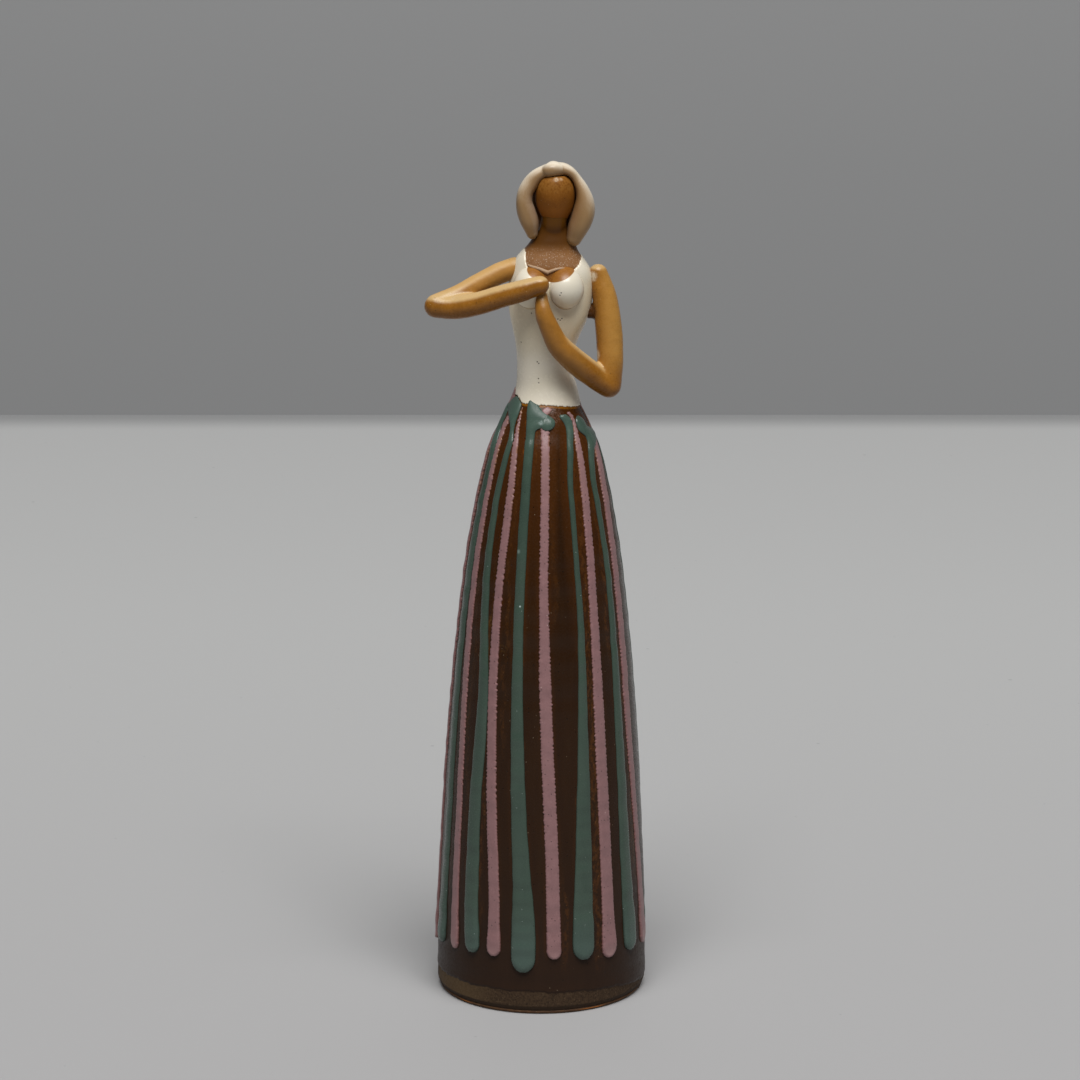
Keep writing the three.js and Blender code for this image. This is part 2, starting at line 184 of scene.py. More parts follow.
def joined(*shapes):
    # several shapes as one mesh
    points, faces, start = [], [], 0
    for shapePoints, shapeFaces in shapes:
        points.append(shapePoints)
        faces += [[corner + start for corner in face] for face in shapeFaces]
        start += len(shapePoints)
    return np.vstack(points), faces


def melted(shape, voxel, rounds):
    # runs overlapping forms into one skin, as wet clay is smeared over a joint
    points, faces = shape
    mesh = bpy.data.meshes.new("melting")
    mesh.from_pydata((points * mm).tolist(), [], faces)
    piece = bpy.data.objects.new("melting", mesh)
    bpy.context.scene.collection.objects.link(piece)
    remesh = piece.modifiers.new("remesh", "REMESH")
    remesh.mode = "VOXEL"
    remesh.voxel_size = voxel * mm
    soften = piece.modifiers.new("soften", "SMOOTH")
    soften.factor = 0.5
    soften.iterations = rounds
    bpy.context.view_layer.update()
    done = piece.evaluated_get(bpy.context.evaluated_depsgraph_get()).to_mesh()
    points = np.zeros(len(done.vertices) * 3)
    done.vertices.foreach_get("co", points)
    faces = [list(face.vertices) for face in done.polygons]
    bpy.data.objects.remove(piece)
    bpy.data.meshes.remove(mesh)
    return points.reshape(-1, 3) / mm, faces


def addPiece(name, shape, glaze, nodes, slotName, lumps=(), **fields):
    # lumps are (height, period, seed) of the slow unevenness of hand-made clay; fields go on the mesh
    # for its glaze to read
    points, faces = shape
    mesh = bpy.data.meshes.new(name)
    mesh.from_pydata((points * mm).tolist(), [], faces)
    shell = bmesh.new()
    shell.from_mesh(mesh)
    bmesh.ops.recalc_face_normals(shell, faces=shell.faces)
    shell.to_mesh(mesh)
    shell.free()
    mesh.polygons.foreach_set("use_smooth", [True] * len(mesh.polygons))
    mesh.update()
    normals = np.zeros(len(points) * 3)
    mesh.vertices.foreach_get("normal", normals)
    normals = normals.reshape(-1, 3)
    fields["faceUp"] = normals[:, 2]
    if lumps:
        points = points.copy()
        for height, period, seed in lumps:
            shift = Vector((seed * 7.3, seed * 3.1, seed * 5.7))
            rise = [noise.noise(Vector(point) / period + shift) for point in points]
            points += normals * (height * np.array(rise))[:, None]
        mesh.vertices.foreach_set("co", (points * mm).ravel())
        mesh.update()
    for field, values in fields.items():
        made = mesh.attributes.new(field, "FLOAT", "POINT")
        made.data.foreach_set("value", np.asarray(values, np.float32))
    mesh.materials.append(glaze.material)
    piece = bpy.data.objects.new(name, mesh)
    bpy.context.scene.collection.objects.link(piece)
    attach(piece, "root")
    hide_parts(*nodes)
    return piece


# glazes, with their shader maths written as sums of sockets


def shade(hexCode):
    parts = [int(hexCode[i : i + 2], 16) / 255 for i in (1, 3, 5)]
    return tuple(p / 12.92 if p < 0.04045 else ((p + 0.055) / 1.055) ** 2.4 for p in parts) + (1,)


class Signal:
    # a socket that takes part in sums
    def __init__(self, glaze, socket):
        self.glaze, self.socket = glaze, socket

    def maths(self, operation, *values):
        return self.glaze.node("ShaderNodeMath", {"operation": operation}, dict(enumerate(values)))

    def __add__(self, other):
        return self.maths("ADD", self, other)

    def __sub__(self, other):
        return self.maths("SUBTRACT", self, other)

    def __rsub__(self, other):
        return self.maths("SUBTRACT", other, self)

    def __mul__(self, other):
        return self.maths("MULTIPLY", self, other)

    __radd__ = __add__
    __rmul__ = __mul__

    def most(self, other):
        return self.maths("MAXIMUM", self, other)

    def step(self, low, high):
        # 0 below low, 1 above high, and smooth between them
        settings = {"interpolation_type": "SMOOTHSTEP"}
        return self.glaze.node("ShaderNodeMapRange", settings, {0: self, 1: low, 2: high})


class Glaze:
    # one material, its own dictionary of colours and the ways its nodes are made
    def __init__(self, name, colours):
        self.colours = colours
        self.material = bpy.data.materials.new(name)
        self.material.use_nodes = True
        self.tree = self.material.node_tree
        self.tree.nodes.clear()
        place = self.node("ShaderNodeTexCoord", {}, {}, "Object")
        self.place = self.node("ShaderNodeVectorMath", {"operation": "SCALE"}, {0: place, "Scale": 1 / mm})
        self.height = self.node("ShaderNodeSeparateXYZ", {}, {0: self.place}, 2)

    def node(self, kind, settings, sockets, output=0):
        made = self.tree.nodes.new(kind)
        for key, value in settings.items():
            setattr(made, key, value)
        for key, value in sockets.items():
            if isinstance(value, Signal):
                self.tree.links.new(value.socket, made.inputs[key])
            else:
                made.inputs[key].default_value = value
        return Signal(self, made.outputs[output]) if len(made.outputs) else made

    def field(self, name):
        # what the mesh holds at each point under this name
        return self.node("ShaderNodeAttribute", {"attribute_name": name}, {}, 2)

    def stretched(self, x, y, z):
        # the place with each axis drawn out by a factor, for streaks
        sockets = {0: self.place, 1: (1 / x, 1 / y, 1 / z)}
        return self.node("ShaderNodeVectorMath", {"operation": "MULTIPLY"}, sockets)

    def cloud(self, period, detail=2.0, place=None, rough=0.5):
        sockets = {"Vector": place or self.place, "Scale": 1 / period, "Detail": detail, "Roughness": rough}
        return self.node("ShaderNodeTexNoise", {}, sockets)

    def cells(self, period, output="Distance", place=None):
        # distance to the nearest of scattered points, in their own spacing, or their random colours
        sockets = {"Vector": place or self.place, "Scale": 1 / period}
        return self.node("ShaderNodeTexVoronoi", {}, sockets, output)

    def specks(self, period, size, share, place=None):
        # 1 inside specks of a size, on a share of scattered points
        inside = 1 - self.cells(period, place=place).step(size / period * 0.6, size / period)
        chosen = self.node("ShaderNodeSeparateColor", {}, {0: self.cells(period, "Color", place)})
        return inside * (1 - chosen.step(share - 0.02, share + 0.02))

    def near(self, point, inner, outer):
        # 1 within inner of a point given in millimetres, 0 beyond outer
        sockets = {0: self.place, 1: tuple(point)}
        gap = self.node("ShaderNodeVectorMath", {"operation": "DISTANCE"}, sockets, "Value")
        return 1 - gap.step(inner, outer)

    def colour(self, asked):
        return shade(self.colours[asked]) if isinstance(asked, str) else asked

    def layers(self, ground, *coats):
        # each coat is (share, colour) over the ones before it; inputs 6 and 7 are Mix's two colours
        mixed = self.colour(ground)
        for share, coat in coats:
            sockets = {0: share, 6: mixed, 7: self.colour(coat)}
            mixed = self.node("ShaderNodeMix", {"data_type": "RGBA"}, sockets, 2)
        return mixed

    def bump(self, height):
        # height in millimetres
        return self.node("ShaderNodeBump", {}, {"Strength": 1.0, "Distance": mm, "Height": height})

    def finish(self, colour, roughness, height, **constants):
        sockets = {"Base Color": colour, "Roughness": roughness, "IOR": 1.5}
        if height:
            sockets["Normal"] = self.bump(height)
        sockets.update({key.replace("_", " "): value for key, value in constants.items()})
        surface = self.node("ShaderNodeBsdfPrincipled", {}, sockets)
        self.node("ShaderNodeOutputMaterial", {}, {"Surface": surface})


# the body is one surface that the skirt, its trails, the bodice and the chest share
body = {
    "footRadius": 35.4,
    "waistRadius": 11.0,
    "fullness": 1.52,
    "rounding": 0.35,
    "throwing": 0.07,  # height of the ridges that the potter's fingers left
    "wobble": 0.1,  # how far out of round it ran on the wheel
    "torsoFrom": 194,  # below this height the skirt's own curve holds
    "joins": (180, 184, 188, 192, 196, 199),  # heights where the torso's curve takes up the skirt's
    # height, how far the hips are pressed in from the curve
    "hips": [(180, 0), (185, 0.15), (189, 0.4), (192.5, 0.85), (196, 0.92), (198.5, 0.8), (201.5, 0.45)],
    # height above the waist, middle in x, half width, half depth
    "torso": [
        (0.3, 0.35, 10.95, 10.3), (4, 0.55, 9.85, 8.9), (11, -0.2, 8.7, 7.6), (19, 0.5, 9.9, 7.9),
        (29, 1.5, 12.9, 8.7), (38, 1.85, 13.6, 9.1), (43.5, 2.1, 12.5, 8.4), (47.5, 1.7, 10.4, 7.2),
        (49.5, 1.9, 9, 6.4), (51.2, 2.25, 8, 5.8), (52.8, 2.5, 7.1, 5.3), (54.2, 2.65, 6.3, 4.8),
        (55.6, 2.75, 5.3, 4.4), (57.2, 2.8, 4.5, 4.1), (59.4, 2.9, 4.3, 4), (62, 3.1, 4.1, 4),
    ],
}
waistShare = (body["waistRadius"] / body["footRadius"]) ** (1 / body["rounding"])
curveTip = waist / (1 - waistShare) ** (1 / body["fullness"])
hipPress = smoothTable(body["hips"])


def skirtRadius(height):
    share = np.clip(np.asarray(height, float) / curveTip, 0, 0.999)
    return body["footRadius"] * (1 - share ** body["fullness"]) ** body["rounding"] - hipPress(height)[0]


joinRows = [(z, lean * z, float(skirtRadius(z)), float(skirtRadius(z))) for z in body["joins"]]
torsoRows = [(waist + up, upperShift + middle, width, depth) for up, middle, width, depth in body["torso"]]
upperBody = smoothTable(joinRows + torsoRows)
throwing = ripple(3, 9, 17, 41)
wheelWobble = ripple(5, 70, 130)


def sectionAt(height):
    # the body's middle in x, half width and half depth at a height
    height = np.asarray(height, float)
    middle, width, depth = upperBody(height)
    onSkirt = height < body["torsoFrom"]
    radius = skirtRadius(height)
    middle = np.where(onSkirt, lean * height, middle)
    return middle, np.where(onSkirt, radius, width), np.where(onSkirt, radius, depth)


def bodyPoints(azimuth, height, out=0.0):
    # points on the body's skin, a little proud of it by out
    azimuth, height = np.broadcast_arrays(np.asarray(azimuth, float), np.asarray(height, float))
    middle, width, depth = sectionAt(height)
    wave = smooth(3, 12, height) * (1 - smooth(185, 198, height))
    wave = wave * (body["throwing"] * throwing(height) + body["wobble"] * wheelWobble(azimuth + 0.2 * height))
    turn = np.radians(azimuth)
    out = out + wave
    return np.stack([middle + (width + out) * np.sin(turn), -(depth + out) * np.cos(turn), height], -1)


def onTorso(x, up, out=0.0):
    # a point of the torso's front, by how far to the side and how high it is
    x, up = np.broadcast_arrays(np.asarray(x, float) + upperShift, np.asarray(up, float) + waist)
    middle, width, depth = sectionAt(up)
    azimuth = np.degrees(np.arcsin(np.clip((x - middle) / width, -0.98, 0.98)))
    return bodyPoints(azimuth, up, out), azimuth


# trails are raised beads of glaze that ran down the skirt; thicknesses and teeth are in millimetres
trailLooks = {
    "pink": {
        "thickness": 0.5, "dropThickness": 0.9, "rounding": 0.9, "step": 0.25, "teeth": 0.13, "waver": 0.03,
    },
    "green": {
        "thickness": 0.8, "dropThickness": 1.5, "rounding": 2.1, "step": 0.35, "teeth": 0.0, "waver": 0.04,
    },
}
# column: height, azimuth, width; head: height, azimuth of the left and right edge; drops: as columns
trails = {
    "pink_trail_01": {
        "column": [
            (15.5, -88, 3.4), (30, -88, 3.4), (60, -87, 3.2), (89, -86, 3), (149, -85, 2.6),
            (185, -84, 2.2),
        ],
        "head": [
            (185, -88, -80), (193, -90, -81), (199, -92, -79), (201.5, -92, -71), (203, -92, -66),
            (204.6, -90, -65.5), (205.6, -86, -69),
        ],
        "thickness": 1.3,
    },
    "green_trail_02": {
        "column": [
            (17.5, -71.5, 6), (26, -71.5, 6.4), (45, -70, 5.2), (68, -69, 4.6), (108, -70, 4.7),
            (149, -70, 4.6), (183, -67, 3.5),
        ],
        "head": [
            (183, -72.5, -61.5), (188, -76, -63.5), (193, -81, -66), (196, -84, -66), (198.5, -87, -68),
            (200.5, -89, -78),
        ],
    },
    "pink_trail_03": {
        "column": [
            (18.2, -55.3, 4), (22, -55.5, 4.2), (30, -56, 4), (49, -56.5, 3.7), (69, -56.6, 3.4),
            (90, -57.4, 3.2), (110, -58.8, 3.3), (131, -60, 3.4), (150, -60.3, 3.3), (176, -60, 2.7),
            (189, -59.5, 2.3),
        ],
        "head": [
            (189, -63, -56), (193, -63.5, -55.5), (194.9, -63.5, -53.5), (196.2, -62.5, -54.5),
            (197, -60, -57),
        ],
    },
    "green_trail_04": {
        "column": [
            (19, -40.8, 6), (25, -41.5, 6.4), (33, -42.3, 6.2), (50, -42.8, 5.8), (71, -42.7, 5.2),
            (92, -41.2, 5), (112, -41.2, 4.2), (131, -44.5, 3.6), (150, -46.6, 3.2), (163, -46.6, 2.9),
            (177, -45.4, 2.7), (190, -41.3, 2.2),
        ],
        "head": [
            (190, -45, -37.6), (193, -46, -40), (194.5, -48, -40.5), (195.8, -52, -40.7), (197, -58, -40.3),
            (198.5, -65, -39.9), (200, -76, -40.5), (201, -78, -41.5), (201.7, -76, -45), (202.4, -68, -52),
            (203.2, -62, -57),
        ],
    },
    "pink_trail_05": {
        "column": [
            (19.3, -27, 5), (23.5, -27, 5.2), (30, -27, 4.4), (40, -27.4, 4.1), (52, -28.7, 4),
            (72, -30.9, 3.9), (92, -32.4, 3.6), (112, -33.7, 3.5), (132, -34, 3.2), (150, -33.3, 3),
            (164, -32.1, 3), (178, -31.7, 2.6), (190, -33.8, 2),
        ],
        "head": [
            (190, -37, -31), (193.4, -37.6, -32.4), (196.5, -37.8, -34), (198.3, -38.2, -35),
            (199.8, -38.6, -36.6), (200.4, -38.4, -37.6),
        ],
    },
    "green_trail_06": {
        "column": [
            (14.7, -10, 7.6), (20, -10, 8.2), (27, -10, 8.3), (34, -10.2, 7.7), (43, -11, 6.6),
            (63, -13.2, 5.5), (84, -15, 4.8), (103, -16.2, 4.2), (123, -17, 3.6), (143, -17.2, 3.4),
            (166, -16.9, 3.3), (190.5, -17, 3.1),
        ],
        "head": [
            (190.5, -21.9, -11.8), (193.4, -23.1, -11.2), (194.2, -23.5, -8), (195, -24, 2),
            (195.8, -24.5, 8), (197.4, -25.6, 9.5), (198.2, -26.5, 7), (199.0, -27.5, 1.5),
            (199.8, -28.3, -5), (201.4, -30.5, -12), (202.1, -30.2, -20), (202.6, -29, -25.4),
            (202.9, -28.4, -27),
        ],
        "drops": [[(193.5, 3.2, 3.4), (194.9, 3.2, 4.7), (196.6, 3.2, 4.8), (198.3, 2, 4)]],
    },
    "pink_trail_07": {
        "column": [
            (19.3, 6.9, 4.9), (24, 6.7, 5), (35, 6.3, 4.7), (53, 5.6, 4.5), (74, 4, 4.4), (94, 2.4, 4.2),
            (114, 1.2, 4), (128, 0.6, 3.4), (143, 0, 3), (160, 0.2, 2.9), (178, 0.7, 2.9),
            (195, 0.6, 2.7),
        ],
        "head": [
            (195, -6.5, 7.5), (197, -4, 4), (198.2, -2, 3), (199.1, -4, 9), (199.8, -5, 11.5),
            (200.4, -3, 10.5), (200.8, 1, 7),
        ],
    },
    "green_trail_08": {
        "column": [
            (18.4, 23.6, 7.4), (26, 23.5, 7.9), (34, 23.4, 7.2), (52, 24, 6.1), (73, 24.5, 5),
            (93, 25, 3.9), (113, 25.7, 3.1), (133, 26, 2.4), (152, 25, 2), (165, 24.5, 2),
            (178, 24.8, 2.1), (189, 29, 2.4),
        ],
        "head": [
            (189, 25, 33), (192.2, 26.6, 36.3), (194.3, 27, 37.8), (195.3, 26, 38.2), (196.2, 24.5, 38.3),
            (197.1, 21.5, 37), (197.8, 20.3, 34.5), (198.3, 22, 32), (198.6, 25, 29),
        ],
    },
    "pink_trail_09": {
        "column": [
            (17.4, 40, 6), (22.5, 40, 6.3), (30, 39.6, 5.4), (41, 39, 5.1), (62, 38.3, 4.8),
            (82, 37.3, 4.6), (103, 37, 4.2), (123, 36.9, 3.7), (142, 37, 3.3), (161, 37.8, 3.1),
            (178, 38.8, 2.9), (189, 39.4, 2.3),
        ],
        "head": [
            (189, 35.6, 43.2), (192.2, 36.7, 43), (195.3, 38.4, 43.4), (196.3, 38.6, 43.6),
            (197.3, 37, 43.2), (198.0, 35, 42.6), (198.6, 33.5, 41), (199.1, 35, 38.5),
        ],
    },
    "green_trail_10": {
        "column": [
            (17.3, 57.6, 6.6), (24, 57.4, 7.2), (35, 56.2, 6.6), (49, 55, 5.8), (70, 54.2, 5),
            (90, 53.8, 4.4), (110, 54, 3.8), (130, 54.4, 3.2), (150, 54.2, 2.8), (163, 52.9, 2.6),
            (177, 51.3, 2.6),
        ],
        "head": [
            (177, 47.5, 55.1), (183, 49.5, 58), (186.5, 52, 63), (188.3, 54, 74), (189.3, 54.5, 81),
            (190.6, 54, 84), (191.5, 50, 83), (192.2, 46.5, 77), (193.2, 44.2, 63), (195.1, 43.7, 61.4),
            (196.2, 45, 59.5), (196.9, 47.5, 56.5), (197.3, 51, 54),
        ],
    },
    "pink_trail_11": {
        "column": [
            (16.4, 76, 5.4), (21, 75.5, 5.8), (32, 73.6, 4.8), (46, 71.3, 4.2), (62, 69, 3.8),
            (82, 66, 3.9), (100, 64.8, 4.2), (120, 65.2, 4.2), (145, 65.4, 4), (163, 66, 4),
            (176, 68, 4.1), (187, 71, 4.2),
        ],
        "head": [
            (187, 64, 78), (190, 69, 82), (193, 74, 83), (196, 75, 82), (198.5, 73, 80), (200.5, 71, 77),
            (201.2, 73, 75),
        ],
    },
    "green_trail_12": {
        "column": [
            (17.5, 99, 5.2), (30, 98.5, 4.8), (60, 97, 4), (89, 95, 3.6), (149, 92, 2.8), (180, 90, 2.4),
        ],
        "thickness": 0.45,
        "head": [(180, 85, 93), (188, 87, 95), (194, 89, 98), (197.5, 88, 99), (199.5, 91, 96)],
    },
}
# the back isn't seen, so its trails are spaced evenly between the two at the sides
backTrails = {
    "count": 12,
    "shares": [0.15, 0.44, 0.74, 0.945],  # of the skirt's height, where the widths hold
    "start": [98, 94, 91, 89],  # azimuths of trail 12 at those heights
    "finish": [272, 274, 275, 276],  # and of trail 01, once round the back
    "pink": [4.4, 3.8, 2.8, 2.1],
    "green": [6.6, 4.4, 2.9, 2.3],
    "ends": [19, 16.5, 20.5, 18],  # heights of their lower ends, in turn
    "neck": 190.4,  # height where the column ends and the head starts
}


def backTrail(number):
    kind = ("pink", "green")[number % 2]
    dice = random.Random(40 + number)
    share = (number + 1) / (backTrails["count"] + 1)
    column = []
    for place in range(4):
        azimuth = backTrails["start"][place] * (1 - share) + backTrails["finish"][place] * share
        width = backTrails[kind][place] * dice.uniform(0.88, 1.12)
        column.append((waist * backTrails["shares"][place], azimuth + dice.uniform(-1, 1), width))
    end = backTrails["ends"][number % 4]
    column[:0] = [(end, column[0][1], column[0][2] * 1.08), (end + 5, column[0][1], column[0][2] * 1.1)]
    top = column[-1][1]
    crown = 3.5 if kind == "pink" else dice.choice([5, 9, 13])  # half the width of the head, in degrees
    headRows = [
        (backTrails["neck"], top - 3.9, top + 3.9), (193.5, top - 4.3 - crown * 0.2, top + 4.3),
        (195.5, top - crown, top + 4.5), (197.5, top - crown, top + crown * 0.8),
        (199.5, top - crown * 0.7, top + crown * 0.5), (200.8, top - 3, top),
    ]
    column[-1] = (backTrails["neck"], top, 2.3)
    return f"{kind}_trail_{number + 13:02d}", {"column": column, "head": headRows}


trails.update(backTrail(number) for number in range(backTrails["count"]))
trailEdgePoints = []  # the brown glaze glows amber beside these


def onSlimHips(azimuth, height):
    # the trails were measured on rounder hips, so they spread a little to stay where they are seen
    across, ahead = np.sin(np.radians(azimuth)), np.cos(np.radians(azimuth))
    spread = across / np.maximum(ahead, 0.35) * smooth(-0.3, 0.35, ahead)
    return azimuth + np.degrees(spread * hipPress(height)[0] / skirtRadius(height))


def trailShape(name, stops):
    # a bead along its column, spreading into its head, and each point's distance from the rim
    kind = name.split("_")[0]
    look = trailLooks[kind]
    number = int(name[-2:])
    column, head = stops["column"], stops.get("head", [])
    end, neck = column[0][0], column[-1][0]
    top = head[-1][0] if head else neck
    heights = np.arange(end, top + 0.01, look["step"])
    azimuth, width = smoothTable(column)(heights)
    waver = look["waver"]
    azimuth = azimuth + np.degrees(waver * ripple(number, 14, 33)(heights) / skirtRadius(heights))
    width = width * (1 + waver * 0.35 * ripple(number + 50, 7, 19)(heights))
    half = np.degrees(width / 2 / skirtRadius(heights))
    left, right = azimuth - half, azimuth + half
    if head:
        rows = np.array(head, float)
        above = smooth(neck - 0.5, neck + 0.5, heights)
        reach = max(1, round(0.45 / look["step"]))
        left = left * (1 - above) + softened(np.interp(heights, rows[:, 0], rows[:, 1]), reach) * above
        right = right * (1 - above) + softened(np.interp(heights, rows[:, 0], rows[:, 2]), reach) * above
    if look["teeth"]:
        bite = np.degrees(look["teeth"] * (0.45 + 0.65 * smooth(30, 90, heights)) / skirtRadius(heights))
        left = left + bite * ripple(number + 100, 1.0, 1.5, 2.6)(heights)
        right = right + bite * ripple(number + 200, 1.0, 1.5, 2.6)(heights)
    tipReach = 0.55 * width[0]  # the drop at the lower end is rounded over this height
    taper = 1 - (1 - np.clip((heights - end) / tipReach, 0, 1)) ** 2
    crownReach = 0.9 if end < 150 else 0.5 * width[-1]
    taper = np.sqrt(taper * (1 - (1 - np.clip((top - heights + 0.05) / crownReach, 0, 1)) ** 2) + 1e-4)
    middle = (left + right) / 2
    left, right = middle + (left - middle) * taper, middle + (right - middle) * taper
    left, right = onSlimHips(left, heights), onSlimHips(right, heights)
    middle = (left + right) / 2
    # how far each point of the bead lies from its outline sets how thick the glaze is there
    across = np.sin(np.radians(np.linspace(-90, 90, 15)))
    azimuths = middle[:, None] + (right - left)[:, None] / 2 * across[None, :]
    levels = np.broadcast_to(heights[:, None], azimuths.shape)
    pace = np.radians(1) * skirtRadius(heights)
    home = middle.mean()
    outline = kdtree.KDTree(2 * len(heights))
    for i, height in enumerate(heights):
        outline.insert(((left[i] - home) * pace[i], height, 0), 2 * i)
        outline.insert(((right[i] - home) * pace[i], height, 0), 2 * i + 1)
    outline.balance()
    flat = np.stack([(azimuths - home) * pace[:, None], levels], -1).reshape(-1, 2)
    rim = np.array([outline.find((u, v, 0))[2] for u, v in flat]).reshape(azimuths.shape)
    swell = 1 - smooth(end + 3, end + 24, heights)
    if look["teeth"] == 0 and head:
        swell = np.maximum(swell, 0.25 * smooth(neck, neck + 4, heights))
    thickness = look["thickness"] + (look["dropThickness"] - look["thickness"]) * swell
    thickness = thickness * stops.get("thickness", 1) * (1 + 0.08 * ripple(number + 300, 6, 11)(heights))
    proud = thickness[:, None] * np.sqrt(1 - (1 - np.clip(rim / look["rounding"], 0, 1)) ** 2)
    # the bead's edge lies just in the skirt's glaze, and three rows of points under it close it
    upper = bodyPoints(azimuths, levels, proud - 0.04)
    under = bodyPoints(azimuths[:, [12, 7, 2]], levels[:, :3], -0.35)
    rings = np.concatenate([upper, under], 1)
    trailEdgePoints.extend(upper[::2, 0].tolist() + upper[::2, -1].tolist())
    rims = np.concatenate([rim, np.zeros((len(heights), 3))], 1).ravel()
    shape, rims = capped(rings), np.concatenate([rims, [0, 0]])
    for drop in stops.get("drops", []):
        # a drop from the head lies thinner than the column
        dropShape, dropRims = trailShape(name, {"column": drop, "thickness": 0.76})
        shape, rims = joined(shape, dropShape), np.concatenate([rims, dropRims])
    return shape, rims


trailShapes = {name: trailShape(name, stops) for name, stops in trails.items()}
print("trails:", len(trailShapes), "shaped")

skirt = {
    "wall": 4.2,
    "bevelHeight": 2.8,
    "bevelDepth": 1.4,
    "slabTop": 1.25,
    "glazeThickness": 0.28,
    "sides": 360,
    # where the glaze stops above the foot: azimuth, height
    "glazeLine": [
        (-170, 7), (-130, 5.8), (-90, 6.9), (-54, 7.6), (-30, 7.8), (-6, 7.9), (10, 7.5), (26, 7.2),
        (46, 6.2), (76, 3.9), (105, 4.4), (140, 6.3),
    ],
    # where the white glaze stops at the waist: azimuth, height
    "whiteLine": [
        (-150, 203.2), (-110, 203.7), (-80, 203.6), (-58, 203.1), (-44, 201.6), (-30, 201.4), (7, 201.2),
        (22, 200.9), (50, 200.2), (80, 199.8), (110, 200.4), (150, 201.6), (178, 202.5),
    ],
    # bands where the brown broke to rust: azimuth low down and high up, half width, lowest, highest, strength
    "rustBands": [
        (32.4, 30.8, 3, 16, 165, 0.65), (67, 58.5, 3, 40, 130, 0.5), (49, 48.5, 2, 120, 189, 0.6),
        (-63, -66, 3, 20, 190, 0.15), (-36, -38.5, 1.4, 30, 150, 0.45), (-49, -53, 2, 60, 150, 0.25),
        (-24, -26, 1.6, 90, 188, 0.4), (13, 9, 1.6, 18, 45, 0.5), (-9, -8.5, 1.4, 182, 196, 0.8),
        (31, 31, 3, 150, 190, 0.35), (8.5, 7.5, 2, 130, 188, 0.25),
    ],
}
brownLook = {
    "ground": "#2c190a", "streaks": "#34200e", "upper": "#4a280c", "nearFoot": "#2e2018", "stain": "#6b4c22",
    "glow": "#4f2a0c", "amber": "#7c430d", "rust": "#5f3814", "rustSpecks": "#8e6436", "scratches": "#86695b",
    "besideWhite": "#8f5a15", "darkSpecks": "#0c0705", "paleSpecks": "#8a7a66",
    "clay": "#473626", "clayClouds": "#33261b", "claySand": "#64523e", "clayPits": "#1d140d",
    "clayWarm": "#6a553a", "shadedBevel": "#38291c",
}
glazeLine, whiteLine = roundTable(skirt["glazeLine"]), roundTable(skirt["whiteLine"])
skirtAzimuths = np.arange(skirt["sides"]) * 360 / skirt["sides"] - 180


def overRings(rings, rows, others):
    # a field with rows for the first rings and one value on all the others
    values = np.full(rings.shape[:2], float(others))
    values[: len(rows)] = rows
    return values.ravel()


def skirtShape():
    # up the outside, over the rim, down the inside of the wall and under the foot
    # the rows stand closest at the bevelled foot, round the glaze line and at the waist
    heights = np.concatenate([
        [skirt["slabTop"], 1.6, 2.2, 2.6, 2.85], np.arange(3.2, 12, 0.24), np.arange(12, 188, 1.1),
        np.arange(188, 204.9, 0.36),
    ])
    grid, levels = np.meshgrid(skirtAzimuths, heights)
    aboveLine = levels - (glazeLine(grid) + 0.22 * ripple(8, 5, 9, 23)(grid))
    coat = skirt["glazeThickness"] * smooth(-0.15, 0.75, aboveLine) - skirt["glazeThickness"]
    bevel = skirt["bevelDepth"] * np.clip(1 - levels / skirt["bevelHeight"], 0, 1)
    outer = bodyPoints(grid, levels, coat - bevel - 0.12 * smooth(198.5, 200.5, levels))
    innerHeights = np.concatenate([[203, 190, 175], np.arange(160, 4.4, -12), [4.1]])
    inner = bodyPoints(*np.meshgrid(skirtAzimuths, innerHeights), -skirt["wall"])
    foot = bodyPoints(skirtAzimuths, np.full(skirt["sides"], skirt["slabTop"]), -skirt["wall"] - 0.3)
    rings = np.concatenate([outer, inner, foot[None]])
    edges = kdtree.KDTree(len(trailEdgePoints))
    for i, point in enumerate(trailEdgePoints):
        edges.insert(point, i)
    edges.balance()
    besideTrail = [[edges.find(point)[2] for point in ring] for ring in outer]
    rust = np.zeros(grid.shape)
    for low, high, half, bottom, top, strength in skirt["rustBands"]:
        centre = low + (high - low) * np.clip((levels - 20) / 130, 0, 1)
        centre = centre + 1.2 * ripple(int(bottom), 17, 40)(levels)
        reach = smooth(bottom - 6, bottom + 8, levels) * (1 - smooth(top - 8, top + 6, levels))
        band = strength * reach * (1 - smooth(half * 0.5, half * 1.2, np.abs(grid - centre)))
        rust = np.maximum(rust, band)
    return looped(rings), {
        "besideTrail": overRings(rings, besideTrail, 9), "aboveLine": overRings(rings, aboveLine, 5),
        "belowWhite": overRings(rings, whiteLine(grid) - levels, 9), "rust": overRings(rings, rust, 0),
    }


